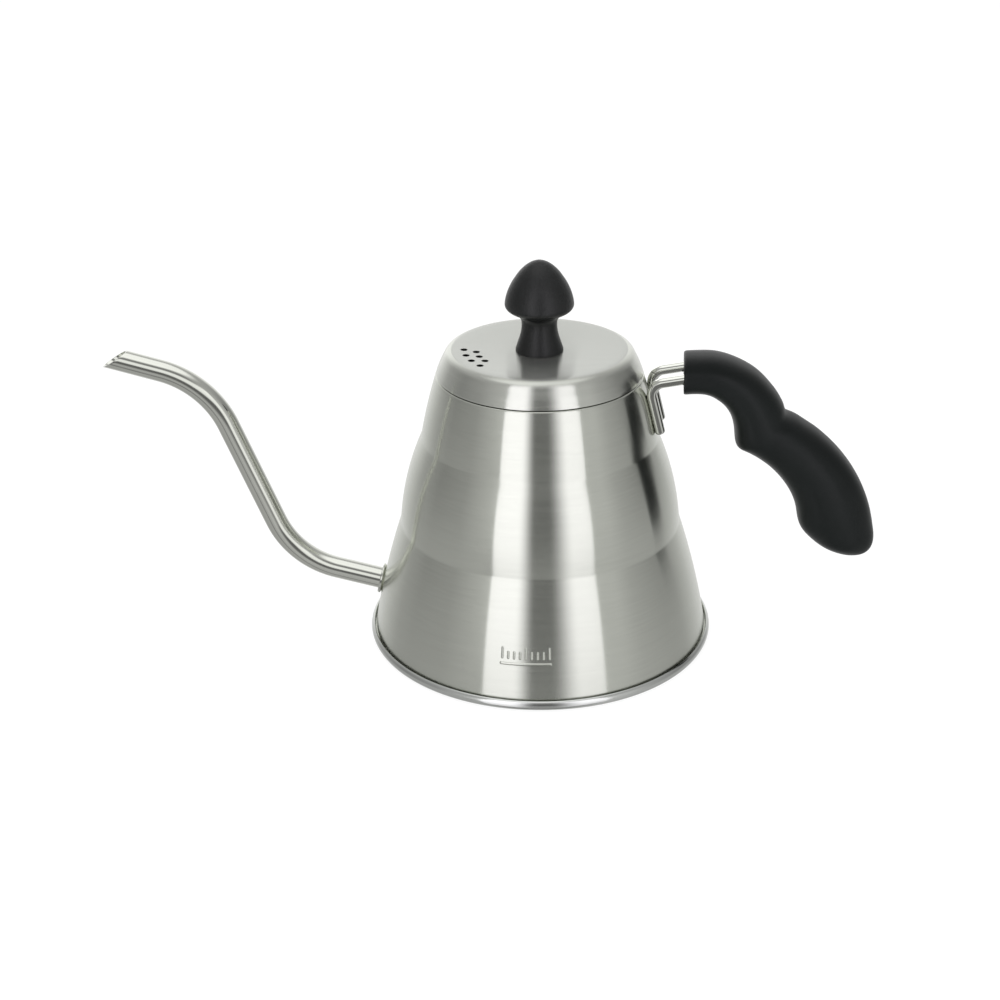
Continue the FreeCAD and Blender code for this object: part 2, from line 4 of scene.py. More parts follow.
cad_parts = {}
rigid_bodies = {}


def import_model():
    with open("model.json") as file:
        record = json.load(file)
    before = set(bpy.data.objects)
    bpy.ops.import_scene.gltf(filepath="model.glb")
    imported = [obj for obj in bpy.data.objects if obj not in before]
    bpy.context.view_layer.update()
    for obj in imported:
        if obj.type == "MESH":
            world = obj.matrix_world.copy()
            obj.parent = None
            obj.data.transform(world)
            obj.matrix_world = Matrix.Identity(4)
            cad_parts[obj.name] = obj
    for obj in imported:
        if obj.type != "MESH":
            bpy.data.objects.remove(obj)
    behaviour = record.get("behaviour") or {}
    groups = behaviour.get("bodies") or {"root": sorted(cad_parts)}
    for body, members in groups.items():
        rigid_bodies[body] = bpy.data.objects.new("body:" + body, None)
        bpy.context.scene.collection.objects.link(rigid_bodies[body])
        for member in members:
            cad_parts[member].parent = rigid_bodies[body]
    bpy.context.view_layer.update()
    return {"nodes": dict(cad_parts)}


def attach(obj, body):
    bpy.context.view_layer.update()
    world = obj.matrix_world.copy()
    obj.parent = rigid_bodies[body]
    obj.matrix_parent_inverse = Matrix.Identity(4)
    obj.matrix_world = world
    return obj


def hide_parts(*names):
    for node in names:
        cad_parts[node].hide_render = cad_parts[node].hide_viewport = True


# Gooseneck kettle: looks. Lengths below are millimetres and become metres
# where a mesh is made. Frame: origin on the body's axis at the floor, +Z up,
# spout towards -X, handle towards +X.
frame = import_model()
nodes = frame["nodes"]
MM = 0.001
scene = bpy.context.scene

# ------------------------------------------------------------ dimensions
sheet = 0.7
bead_outer_r, bead_r, bead_curl_deg = 70.0, 2.3, 58.0
tier_foot, crease_low, crease_high, tier_top = (67.85, 4.0), (56.2, 49.81), (46.93, 85.88), (40.42, 111.99)
bulge_low, bulge_mid, bulge_top = 0.90, 1.68, 0.42
crease_fillet = 5.0
neck_r, neck_round = 67.8, 6.0
ledge_z, ledge_fillet = 111.7, 0.9
collar_in_r, collar_bottom_z = 37.5, 105.5
groove_r, groove_half, groove_up = 51.5, 1.5, 0.5

spout_od, spout_wall = 8.85, 0.6
spout_root, spout_root_deg = (-66.4, 18.63), 13.06
spout_knee, spout_knee_r, spout_rise_deg = (-102.2, 26.94), 34.5, 68.45
spout_crook, spout_crook_r, spout_tip_deg = (-132.61, 103.95), 37.75, 14.56
spout_lip_low, spout_lip_high = (-175.9, 109.35), (-164.21, 116.77)
spout_inside = 3.1
collar_od, collar_edge = 12.4, 0.4

rod_d, rod_y, rod_leg_low_z, rod_sink, rod_bend_r = 4.0, 7.0, 91.1, 0.06, 5.2
rod_tip, rod_tip_edge = 1.3, 1.2
rod_run_point, rod_run_deg = (54.9, 112.4), 10.7
rod_arc_x, rod_arc_r, rod_arc_deg = 57.0, 26.0, 60.0
tie_at_deg, tie_len, tie_thick = 82.0, 10.0, 3.0
grip_head_r, head_seat = 3.6, -4.4

lid_profile = [(40.32, 112.1), (40.2, 112.7), (39.93, 113.4), (39.45, 114.6),
               (38.9, 115.95), (38.2, 117.4), (37.5, 118.8), (36.87, 120.0),
               (36.3, 120.7), (35.6, 121.2), (34.7, 121.55), (33.6, 121.74),
               (32.3, 121.8), (30.6, 121.77), (29.0, 121.72), (25.0, 121.56),
               (20.0, 121.36), (15.0, 121.15), (12.4, 121.04), (10.4, 121.0)]
lid_top_z, lid_hole_r, vent_r = 121.0, 2.2, 1.37
vents = [(29.25, 187.2), (29.25, 199.4), (29.25, 211.6), (29.25, 223.8),
         (24.65, 192.5), (24.65, 204.6), (24.65, 216.6)]
sleeve_out_r, sleeve_in_r, sleeve_low_z, sleeve_flange_z = 37.1, 36.4, 104.6, 115.6

knob_profile = [(9.37, 121.0), (9.0, 122.5), (8.48, 124.1), (7.93, 125.7),
                (7.45, 127.3), (7.1, 128.9), (6.9, 130.5), (6.86, 131.9), (6.98, 133.15),
                (7.47, 134.35), (8.52, 135.45), (9.95, 136.4), (11.45, 137.2), (12.65, 138.15),
                (13.27, 139.25), (13.3, 140.5), (13.05, 142.0), (12.65, 143.5),
                (12.15, 145.0), (11.5, 146.5), (10.75, 148.0), (9.85, 149.5),
                (8.93, 150.85), (8.0, 152.15), (7.0, 153.3), (5.85, 154.4),
                (4.5, 155.45), (3.05, 156.3), (1.5, 156.85), (0.0, 157.0)]
insert_high_z = 130.9

grip_stations = [
    ((55.85, 119.55), (56.05, 105.95), 11.85), ((56.20, 120.02), (56.40, 105.66), 12.15),
    ((57.20, 120.30), (57.30, 105.62), 12.32),
    ((60.22, 120.49), (59.91, 105.85), 12.4), ((67.12, 120.53), (64.97, 105.55), 12.6),
    ((73.74, 119.07), (68.71, 103.76), 12.7), ((78.79, 116.94), (71.32, 101.63), 12.8),
    ((83.34, 114.29), (73.40, 98.98), 12.9), ((86.91, 111.27), (74.79, 96.19), 13.0),
    ((89.71, 108.21), (75.70, 93.11), 13.0), ((92.15, 105.15), (76.29, 89.62), 13.0),
    ((93.93, 102.3), (76.71, 86.11), 13.0), ((94.93, 100.3), (77.38, 84.07), 13.0),
    ((95.5, 98.6), (78.63, 82.93), 13.0), ((96.17, 97.23), (80.20, 82.27), 13.0),
    ((98.78, 95.91), (82.91, 80.97), 13.05), ((103.80, 93.03), (87.50, 78.12), 13.2),
    ((108.43, 89.93), (91.28, 75.04), 13.3), ((112.34, 86.72), (94.42, 71.74), 13.4),
    ((115.85, 83.41), (97.05, 68.31), 13.4), ((121.32, 77.02), (100.16, 62.82), 13.3),
    ((125.64, 70.41), (101.97, 57.63), 13.1), ((128.93, 63.67), (102.97, 52.76), 12.7),
    ((131.37, 56.69), (104.55, 48.81), 12.1), ((132.88, 49.98), (107.97, 44.99), 11.2),
    ((133.56, 44.44), (113.35, 41.00), 9.9), ((132.50, 40.60), (118.30, 38.90), 7.6),
    ((130.30, 38.75), (121.90, 38.05), 5.2), ((128.10, 38.00), (124.70, 37.75), 2.4)]
grip_power = 2.35


# ------------------------------------------------------------ plane geometry
def circle_of(p, q, m):
    ax, ay = p; bx, by = q; cx, cy = m
    d = 2 * (ax * (by - cy) + bx * (cy - ay) + cx * (ay - by))
    ux = ((ax * ax + ay * ay) * (by - cy) + (bx * bx + by * by) * (cy - ay) + (cx * cx + cy * cy) * (ay - by)) / d
    uy = ((ax * ax + ay * ay) * (cx - bx) + (bx * bx + by * by) * (ax - cx) + (cx * cx + cy * cy) * (bx - ax)) / d
    return (ux, uy), math.hypot(ax - ux, ay - uy)


def meet(c1, r1, c2, r2, near):
    d = math.hypot(c2[0] - c1[0], c2[1] - c1[1])
    a = (r1 * r1 - r2 * r2 + d * d) / (2 * d)
    h = math.sqrt(max(r1 * r1 - a * a, 0.0))
    ex, ey = (c2[0] - c1[0]) / d, (c2[1] - c1[1]) / d
    px, py = c1[0] + a * ex, c1[1] + a * ey
    both = [(px - h * ey, py + h * ex), (px + h * ey, py - h * ex)]
    return min(both, key=lambda k: math.hypot(k[0] - near[0], k[1] - near[1]))


def on_circle(c, r, z):
    return (c[0] + math.sqrt(r * r - (z - c[1]) ** 2), z)


def arc(c, p, q, n):
    """n + 1 points of the shorter arc round c from p to q."""
    a0 = math.atan2(p[1] - c[1], p[0] - c[0])
    a1 = math.atan2(q[1] - c[1], q[0] - c[0])
    d = (a1 - a0 + math.pi) % (2 * math.pi) - math.pi
    r = math.hypot(p[0] - c[0], p[1] - c[1])
    return [(c[0] + r * math.cos(a0 + d * i / n), c[1] + r * math.sin(a0 + d * i / n)) for i in range(n + 1)]


def line(p, q, n):
    return [(p[0] + (q[0] - p[0]) * i / n, p[1] + (q[1] - p[1]) * i / n) for i in range(n + 1)]


def chain(*runs):
    out = []
    for run in runs:
        for p in run:
            if not out or math.dist(p, out[-1]) > 1e-4:
                out.append(tuple(p))
    return out


def cubic(points, per, ends=None):
    """Smooth curve through points of any dimension, per steps to a span. ends are
    the tangents at the two ends, or None for free ends."""
    n = len(points)
    k = len(points[0])
    t = [0.0]
    for a, b in zip(points, points[1:]):
        t.append(t[-1] + max(math.dist(a[:2], b[:2]), 1e-6))
    out = [[] for _ in range(n - 1)]
    cols = []
    for c in range(k):
        y = [p[c] for p in points]
        h = [t[i + 1] - t[i] for i in range(n - 1)]
        al, mu, ze, m = [0.0] * n, [0.0] * n, [0.0] * n, [0.0] * n
        lo = [1.0] * n
        if ends:
            al[0] = 3 * ((y[1] - y[0]) / h[0] - ends[0][c])
            lo[0], mu[0] = 2 * h[0], 0.5
            ze[0] = al[0] / lo[0]
        for i in range(1, n - 1):
            al[i] = 3 * (y[i + 1] - y[i]) / h[i] - 3 * (y[i] - y[i - 1]) / h[i - 1]
            lo[i] = 2 * (t[i + 1] - t[i - 1]) - h[i - 1] * mu[i - 1]
            mu[i] = h[i] / lo[i]
            ze[i] = (al[i] - h[i - 1] * ze[i - 1]) / lo[i]
        if ends:
            al[-1] = 3 * (ends[1][c] - (y[-1] - y[-2]) / h[-1])
            lo[-1] = h[-1] * (2 - mu[-2])
            m[-1] = (al[-1] - h[-1] * ze[-2]) / lo[-1]
        spans = []
        for i in range(n - 2, -1, -1):
            m[i] = ze[i] - mu[i] * m[i + 1]
            b = (y[i + 1] - y[i]) / h[i] - h[i] * (m[i + 1] + 2 * m[i]) / 3
            spans.append((y[i], b, m[i], (m[i + 1] - m[i]) / (3 * h[i]), h[i]))
        cols.append(spans[::-1])
    res = []
    for i in range(n - 1):
        for j in range(per):
            u = j / per
            p = []
            for c in range(k):
                a, b, m2, d, h = cols[c][i]
                x = u * h
                p.append(a + b * x + m2 * x * x + d * x ** 3)
            res.append(tuple(p))
    res.append(tuple(points[-1]))
    return res


def offset(points, t):
    """Points moved to the left of the chain's direction."""
    out = []
    for i, (r, z) in enumerate(points):
        p, q = points[max(i - 1, 0)], points[min(i + 1, len(points) - 1)]
        dx, dz = q[0] - p[0], q[1] - p[1]
        n = math.hypot(dx, dz)
        out.append((r - dz / n * t, z + dx / n * t))
    return out


# ------------------------------------------------------------ meshes
def finish_mesh(me, sharp_deg):
    bm = bmesh.new()
    bm.from_mesh(me)
    bmesh.ops.recalc_face_normals(bm, faces=bm.faces)
    bm.to_mesh(me)
    bm.free()
    me.polygons.foreach_set("use_smooth", [True] * len(me.polygons))
    if sharp_deg:
        me.set_sharp_from_angle(angle=math.radians(sharp_deg))
    me.update()


def add_mesh(name, verts, faces, uvs=None, sharp_deg=32.0):
    """Object from vertices in millimetres. uvs gives, face by face, one pair per corner."""
    me = bpy.data.meshes.new(name)
    me.from_pydata([(x * MM, y * MM, z * MM) for x, y, z in verts], [], faces)
    if uvs:
        layer = me.uv_layers.new(name="brush")
        flat = [c for f in uvs for p in f for c in p]
        layer.uv.foreach_set("vector", flat)
    finish_mesh(me, sharp_deg)
    ob = bpy.data.objects.new(name, me)
    scene.collection.objects.link(ob)
    return ob


def lathe(name, profile, segs, closed=True, seam_deg=90.0, sharp_deg=32.0):
    """Turned mesh about Z. The first map coordinate runs along the profile and the
    second round the axis."""
    n = len(profile)
    run = [0.0]
    for i in range(1, n + 1):
        run.append(run[-1] + math.dist(profile[i - 1], profile[i % n]))
    ref = max(p[0] for p in profile)
    verts, rows = [], []
    for r, z in profile:
        if r < 1e-6:
            rows.append([len(verts)] * segs)
            verts.append((0.0, 0.0, z))
        else:
            rows.append(list(range(len(verts), len(verts) + segs)))
            for j in range(segs):
                a = math.radians(seam_deg) + 2 * math.pi * j / segs
                verts.append((r * math.cos(a), r * math.sin(a), z))
    faces, uvs = [], []
    step = 2 * math.pi * ref / segs
    for i in range(n if closed else n - 1):
        a, b = rows[i], rows[(i + 1) % n]
        ua, ub = run[i] * MM * 5, run[i + 1] * MM * 5
        for j in range(segs):
            k = (j + 1) % segs
            quad = [(a[j], (ua, j * step * MM)), (a[k], (ua, (j + 1) * step * MM)),
                    (b[k], (ub, (j + 1) * step * MM)), (b[j], (ub, j * step * MM))]
            seen, keep = set(), []
            for v, uv in quad:
                if v not in seen:
                    seen.add(v)
                    keep.append((v, uv))
            if len(keep) > 2:
                faces.append([v for v, _ in keep])
                uvs.append([uv for _, uv in keep])
    return add_mesh(name, verts, faces, uvs, sharp_deg)


def skin(name, rings, cap_start=None, cap_end=None, closed=False, sharp_deg=32.0):
    """Mesh over rings of equal length. A cap is the point that its end closes on."""
    m = len(rings[0])
    verts = [p for ring in rings for p in ring]
    along = [0.0]
    for a, b in zip(rings, rings[1:] + rings[:1]):
        along.append(along[-1] + math.dist(a[0], b[0]))
    faces, uvs = [], []
    n = len(rings)
    for i in range(n if closed else n - 1):
        a, b = i * m, ((i + 1) % n) * m
        for j in range(m):
            k = (j + 1) % m
            faces.append([a + j, a + k, b + k, b + j])
            ua, ub = along[i] * MM * 5, along[i + 1] * MM * 5
            uvs.append([(ua, j / m), (ua, (j + 1) / m), (ub, (j + 1) / m), (ub, j / m)])
    for point, first, at in ((cap_start, 0, 0.0), (cap_end, (n - 1) * m, along[n - 1])):
        if point is not None:
            c = len(verts)
            verts.append(point)
            for j in range(m):
                k = (j + 1) % m
                faces.append([c, first + j, first + k])
                uvs.append([(at * MM * 5, j / m), (at * MM * 5, j / m), (at * MM * 5, (j + 1) / m)])
    return add_mesh(name, verts, faces, uvs, sharp_deg)


def rod_between(p, q, radius, segs=64):
    """Closed cylinder from p to q, for cutting."""
    p, q = Vector(p), Vector(q)
    d = (q - p).normalized()
    side = d.orthogonal().normalized()
    up = d.cross(side)
    rings = []
    for c in (p, q):
        rings.append([tuple(c + side * (radius * math.cos(2 * math.pi * j / segs))
                            + up * (radius * math.sin(2 * math.pi * j / segs))) for j in range(segs)])
    ob = skin("cutter", rings, tuple(p), tuple(q))
    return ob


def cut(ob, cutters, sharp_deg=32.0):
    """Takes the cutters out of ob, and removes them."""
    for c in cutters:
        m = ob.modifiers.new("cut", "BOOLEAN")
        m.operation, m.solver, m.object = "DIFFERENCE", "EXACT", c
    bpy.context.view_layer.update()
    dg = bpy.context.evaluated_depsgraph_get()
    me = bpy.data.meshes.new_from_object(ob.evaluated_get(dg))
    ob.modifiers.clear()
    old, ob.data = ob.data, me
    me.name = ob.name
    bpy.data.meshes.remove(old)
    for c in cutters:
        data = c.data
        bpy.data.objects.remove(c)
        bpy.data.meshes.remove(data)
    me.polygons.foreach_set("use_smooth", [True] * len(me.polygons))
    me.set_sharp_from_angle(angle=math.radians(sharp_deg))
    me.update()
    return ob


# ------------------------------------------------------------ materials
def tree_of(name):
    m = bpy.data.materials.new(name)
    m.use_nodes = True
    t = m.node_tree
    t.nodes.clear()
    out = t.nodes.new("ShaderNodeOutputMaterial")
    bsdf = t.nodes.new("ShaderNodeBsdfPrincipled")
    t.links.new(bsdf.outputs[0], out.inputs[0])
    return m, t, bsdf


def noise(t, vector, scale, detail=2.0, rough=0.5):
    n = t.nodes.new("ShaderNodeTexNoise")
    n.inputs["Scale"].default_value = scale
    n.inputs["Detail"].default_value = detail
    n.inputs["Roughness"].default_value = rough
    t.links.new(vector, n.inputs["Vector"])
    return n.outputs["Fac"]


def spread(t, value, lo, hi, a=0.3, b=0.7):
    n = t.nodes.new("ShaderNodeMapRange")
    n.inputs["From Min"].default_value, n.inputs["From Max"].default_value = a, b
    n.inputs["To Min"].default_value, n.inputs["To Max"].default_value = lo, hi
    t.links.new(value, n.inputs["Value"])
    return n.outputs["Result"]


def math_node(t, op, a, b=None):
    n = t.nodes.new("ShaderNodeMath")
    n.operation = op
    for i, v in enumerate((a, b)):
        if v is None:
            continue
        if isinstance(v, (int, float)):
            n.inputs[i].default_value = v
        else:
            t.links.new(v, n.inputs[i])
    return n.outputs[0]


def tinted(t, colour, factor):
    """The colour times a factor that varies over the surface."""
    n = t.nodes.new("ShaderNodeVectorMath")
    n.operation = "SCALE"
    n.inputs[0].default_value = colour
    t.links.new(factor, n.inputs["Scale"])
    return n.outputs[0]


def bump(t, bsdf, height, strength, distance):
    n = t.nodes.new("ShaderNodeBump")
    n.inputs["Strength"].default_value = strength
    n.inputs["Distance"].default_value = distance
    t.links.new(height, n.inputs["Height"])
    t.links.new(n.outputs[0], bsdf.inputs["Normal"])


def brushed(name, colour, rough, aniso, straight=False, tone=0.022, shade=0.010, bump_by=0.035):
    """Brushed steel: fine lines run round the axis of a turned piece, or straight
    across a flat one, and its highlights draw out across them."""
    m, t, b = tree_of(name)
    b.inputs["Metallic"].default_value = 1.0
    b.inputs["Anisotropic"].default_value = aniso
    co = t.nodes.new("ShaderNodeTexCoord")
    uv = t.nodes.new("ShaderNodeUVMap")
    uv.uv_map = "brush"
    su = t.nodes.new("ShaderNodeSeparateXYZ")
    t.links.new(uv.outputs[0], su.inputs[0])
    so = t.nodes.new("ShaderNodeSeparateXYZ")
    t.links.new(co.outputs["Object"], so.inputs[0])
    flat = t.nodes.new("ShaderNodeCombineXYZ")
    t.links.new(so.outputs[0], flat.inputs[0])
    t.links.new(so.outputs[1], flat.inputs[1])
    unit = t.nodes.new("ShaderNodeVectorMath")
    unit.operation = "NORMALIZE"
    t.links.new(flat.outputs[0], unit.inputs[0])
    sn = t.nodes.new("ShaderNodeSeparateXYZ")
    t.links.new(unit.outputs[0], sn.inputs[0])

    def lines(along, across):
        c = t.nodes.new("ShaderNodeCombineXYZ")
        if straight:
            t.links.new(math_node(t, "MULTIPLY", so.outputs[0], along * 22.0), c.inputs[0])
            t.links.new(math_node(t, "MULTIPLY", so.outputs[1], across * 5.0), c.inputs[1])
        else:
            t.links.new(math_node(t, "MULTIPLY", sn.outputs[0], along), c.inputs[0])
            t.links.new(math_node(t, "MULTIPLY", sn.outputs[1], along), c.inputs[1])
            t.links.new(math_node(t, "MULTIPLY", su.outputs[0], across), c.inputs[2])
        return c.outputs[0]

    fine = noise(t, lines(3.4, 420.0), 1.0, 4.0, 0.62)
    broad = noise(t, lines(1.3, 60.0), 1.0, 3.0, 0.55)
    cloud = noise(t, co.outputs["Object"], 38.0, 2.0, 0.5)
    mix = math_node(t, "ADD", spread(t, fine, -tone, tone), spread(t, broad, -shade, shade))
    mix = math_node(t, "ADD", mix, spread(t, cloud, 1.0 - 0.010, 1.0 + 0.010))
    t.links.new(tinted(t, colour, mix), b.inputs["Base Color"])
    r = math_node(t, "ADD", spread(t, fine, rough - 0.018, rough + 0.018), spread(t, cloud, -0.008, 0.008))
    t.links.new(r, b.inputs["Roughness"])
    tan = t.nodes.new("ShaderNodeTangent")
    tan.direction_type, tan.uv_map = "UV_MAP", "brush"
    t.links.new(tan.outputs[0], b.inputs["Tangent"])
    bump(t, b, fine, bump_by, 0.00002)
    return m


def polished(name, colour, rough, grain=900.0, tone=0.025):
    """Bright drawn steel: nearly mirror, with faint polishing marks and handling haze."""
    m, t, b = tree_of(name)
    b.inputs["Metallic"].default_value = 1.0
    co = t.nodes.new("ShaderNodeTexCoord")
    fine = noise(t, co.outputs["Object"], grain, 3.0, 0.6)
    haze = noise(t, co.outputs["Object"], 60.0, 3.0, 0.55)
    mix = math_node(t, "ADD", spread(t, haze, 1 - tone, 1 + tone), spread(t, fine, -0.01, 0.01))
    t.links.new(tinted(t, colour, mix), b.inputs["Base Color"])
    r = math_node(t, "ADD", spread(t, haze, rough - 0.02, rough + 0.025), spread(t, fine, -0.012, 0.012))
    t.links.new(r, b.inputs["Roughness"])
    bump(t, b, fine, 0.03, 0.00002)
    return m


def moulded(name, colour, rough, grain, depth, level=0.5, speck=0.1, deep=0.00006):
    """Black moulded plastic with a fine spark-eroded grain."""
    m, t, b = tree_of(name)
    b.inputs["Specular IOR Level"].default_value = level
    co = t.nodes.new("ShaderNodeTexCoord")
    fine = noise(t, co.outputs["Object"], grain, 3.0, 0.65)
    haze = noise(t, co.outputs["Object"], 55.0, 3.0, 0.55)
    mix = math_node(t, "ADD", spread(t, haze, 0.9, 1.12), spread(t, fine, -speck, speck))
    t.links.new(tinted(t, colour, mix), b.inputs["Base Color"])
    r = math_node(t, "ADD", spread(t, haze, rough - 0.03, rough + 0.04), spread(t, fine, -0.03, 0.03))
    t.links.new(r, b.inputs["Roughness"])
    bump(t, b, fine, depth, deep)
    return m


wall_steel = brushed("wall_steel", (0.625, 0.641, 0.582), 0.21, 1.0, tone=0.028)
lid_steel = brushed("lid_steel", (0.630, 0.643, 0.592), 0.23, 1.0)
lid_top_steel = brushed("lid_top_steel", (0.632, 0.643, 0.605), 0.24, 1.0, straight=True)
bead_steel = brushed("bead_steel", (0.640, 0.655, 0.630), 0.17, 0.4, tone=0.015)
rod_steel = polished("rod_steel", (0.665, 0.675, 0.630), 0.07)
bright_steel = polished("bright_steel", (0.645, 0.655, 0.605), 0.10)
plain_steel = polished("plain_steel", (0.56, 0.56, 0.55), 0.3, 500.0, 0.05)
grip_black = moulded("grip_black", (0.0050, 0.0072, 0.0068), 0.40, 2600.0, 0.16, 0.24)
knob_black = moulded("knob_black", (0.0062, 0.0070, 0.0069), 0.38, 1000.0, 0.8, 0.44, 0.3, 0.00016)
insert_brass = polished("insert_brass", (0.72, 0.52, 0.24), 0.26, 700.0, 0.05)


def dress(ob, mat, body, slot, *replaced):
    ob.data.materials.clear()
    ob.data.materials.append(mat)
    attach(ob, body)
    if replaced:
        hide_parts(*replaced)
    return ob


# ------------------------------------------------------------ body wall
def bulged(p, q, s):
    return ((p[0] + q[0]) / 2 + s, (p[1] + q[1]) / 2)


c_low, r_low = circle_of(tier_foot, crease_low, bulged(tier_foot, crease_low, bulge_low))
c_mid, r_mid = circle_of(crease_low, crease_high, bulged(crease_low, crease_high, bulge_mid))
c_top, r_top = circle_of(crease_high, tier_top, bulged(crease_high, tier_top, bulge_top))


def towards(c, f, r):
    d = math.hypot(f[0] - c[0], f[1] - c[1])
    return (c[0] + (f[0] - c[0]) * r / d, c[1] + (f[1] - c[1]) * r / d)


neck_c = (neck_r - neck_round, c_low[1] + math.sqrt((r_low - neck_round) ** 2 - (neck_r - neck_round - c_low[0]) ** 2))


def wall(inset, top):
    """The three tiers from the neck over the bead up, with their rounded creases."""
    f1 = meet(c_low, r_low + crease_fillet, c_mid, r_mid + crease_fillet, crease_low)
    f2 = meet(c_mid, r_mid + crease_fillet, c_top, r_top + crease_fillet, crease_high)
    a = (neck_r - inset, neck_c[1])
    n = towards(c_low, neck_c, r_low - inset)
    p1, p2 = towards(c_low, f1, r_low - inset), towards(c_mid, f1, r_mid - inset)
    p3, p4 = towards(c_mid, f2, r_mid - inset), towards(c_top, f2, r_top - inset)
    return chain(arc(neck_c, a, n, 8), arc(c_low, n, p1, 32), arc(f1, p1, p2, 6), arc(c_mid, p2, p3, 34), arc(f2, p3, p4, 6),
                 arc(c_top, p4, top, 24))


def wall_r(z):
    """Radius of the outer face at a height."""
    if z < crease_low[1]:
        return on_circle(c_low, r_low, z)[0]
    if z < crease_high[1]:
        return on_circle(c_mid, r_mid, z)[0]
    return on_circle(c_top, r_top, z)[0]


bead_c = (bead_outer_r - bead_r, bead_r)
foot_in = bead_r - sheet - 0.05
g = (c_top[0] + math.sqrt((r_top - ledge_fillet) ** 2 - (ledge_z - ledge_fillet - c_top[1]) ** 2), ledge_z - ledge_fillet)
g_on = towards(c_top, g, r_top)
under_z = ledge_z - sheet
d_in = on_circle(c_top, r_top - sheet, under_z)
a_out, a_in = (neck_r, neck_c[1]), (neck_r - sheet, neck_c[1])
f0 = (neck_r, bead_c[1])
f1 = (bead_c[0] + foot_in, bead_c[1])
f2 = (bead_c[0], bead_c[1] - foot_in)
body_profile = chain(
    line(f0, a_out, 5), wall(0.0, g_on), arc(g, g_on, (g[0], ledge_z), 7),
    line((g[0], ledge_z), (collar_in_r + 0.6, ledge_z), 2),
    arc((collar_in_r + 0.6, ledge_z - 0.6), (collar_in_r + 0.6, ledge_z), (collar_in_r, ledge_z - 0.6), 6),
    line((collar_in_r, ledge_z - 0.6), (collar_in_r, collar_bottom_z), 6),
    line((collar_in_r, collar_bottom_z), (collar_in_r + sheet, collar_bottom_z), 1),
    line((collar_in_r + sheet, collar_bottom_z), (collar_in_r + sheet, under_z), 4),
    line((collar_in_r + sheet, under_z), d_in, 1),
    wall(sheet, d_in)[::-1], line(a_in, (a_in[0], sheet), 3), line((a_in[0], sheet), (f2[0], sheet), 1),
    [f2], arc(bead_c, f2, f1, 6), line(f1, f0, 1))[:-1]


def unit(deg):
    return (-math.cos(math.radians(deg)), math.sin(math.radians(deg)))


def step(p, u, s):
    return (p[0] + u[0] * s, p[1] + u[1] * s)


uA, uB, uC = unit(spout_root_deg), unit(spout_rise_deg), unit(spout_tip_deg)
body = lathe("body_wall", body_profile, 360)
h0, h1 = step(spout_root, uA, -9), step(spout_root, uA, 7)
body = cut(body, [rod_between((h0[0], 0, h0[1]), (h1[0], 0, h1[1]), spout_od / 2 + 0.03, 72)])
dress(body, wall_steel, "kettle", "wall_steel", "body_shell")

# ------------------------------------------------------------ level mark
# A raised level line on the front of the lowest tier with a plain scale over it,
# stamped outwards: each bar swells out of the wall and runs back into it.
mark_deg, mark_ref = -90.8, 65.2
mark_verts, mark_faces, mark_uvs = [], [], []
foot_ang = math.atan2(tier_foot[1] - c_low[1], tier_foot[0] - c_low[0])


def on_wall(s, z, high):
    """Point of the lowest tier s millimetres round from the middle of the mark, standing out by high,
    with its place on the wall's own brushing."""
    ang = math.atan2(z - c_low[1], math.sqrt(r_low ** 2 - (z - c_low[1]) ** 2))
    r, h = c_low[0] + (r_low + high) * math.cos(ang), c_low[1] + (r_low + high) * math.sin(ang)
    turn = math.radians(mark_deg) + s / mark_ref
    run = tier_foot[1] - bead_c[1] + r_low * (ang - foot_ang)
    return (r * math.cos(turn), r * math.sin(turn), h), (run * MM * 5, turn * bead_outer_r * MM)


def mark_bar(p, q, half, high):
    """Round-ended bar from p to q, both as distance round the wall and height."""
    length = math.dist(p, q)
    ux, uz = (q[0] - p[0]) / length, (q[1] - p[1]) / length
    sides, ends = max(6, int(length / 0.4)), 10

    def outline(d):
        pts = [(p[0] + ux * length * i / sides + uz * d, p[1] + uz * length * i / sides - ux * d) for i in range(sides + 1)]
        pts += [(q[0] + uz * d * math.cos(math.pi * i / ends) + ux * d * math.sin(math.pi * i / ends),
                 q[1] - ux * d * math.cos(math.pi * i / ends) + uz * d * math.sin(math.pi * i / ends)) for i in range(1, ends)]
        pts += [(q[0] - ux * length * i / sides - uz * d, q[1] - uz * length * i / sides + ux * d) for i in range(sides + 1)]
        pts += [(p[0] - uz * d * math.cos(math.pi * i / ends) - ux * d * math.sin(math.pi * i / ends),
                 p[1] + ux * d * math.cos(math.pi * i / ends) - uz * d * math.sin(math.pi * i / ends)) for i in range(1, ends)]
        return pts

    levels = [(half, -0.35), (half, -0.02)]
    for i in range(1, 8):
        k = 1 - i / 8
        levels.append((half * k, high * (1 - k * k) ** 1.6))
    levels.append((half * 0.04, high))
    base = len(mark_verts)
    n = 0
    maps = []
    for d, h in levels:
        ring = [on_wall(a, z, h) for a, z in outline(d)]
        n = len(ring)
        mark_verts.extend(v for v, _ in ring)
        maps.append([uv for _, uv in ring])
    for i in range(len(levels) - 1):
        for j in range(n):
            k = (j + 1) % n
            mark_faces.append([base + i * n + j, base + i * n + k, base + (i + 1) * n + k, base + (i + 1) * n + j])
            mark_uvs.append([maps[i][j], maps[i][k], maps[i + 1][k], maps[i + 1][j]])
    for i in (0, len(levels) - 1):
        mark_faces.append([base + i * n + j for j in range(n)])
        mark_uvs.append(list(maps[i]))


mark_bar((-9.55, 18.1), (9.55, 18.1), 0.62, 0.34)
for i in range(9):
    s_ = -9.2 + 2.3 * i
    mark_bar((s_, 20.3), (s_, 24.1 if i % 4 == 0 else 22.5), 0.55, 0.32)
mark = add_mesh("level_mark", mark_verts, mark_faces, mark_uvs, 60.0)
dress(mark, wall_steel, "kettle", "wall_steel")

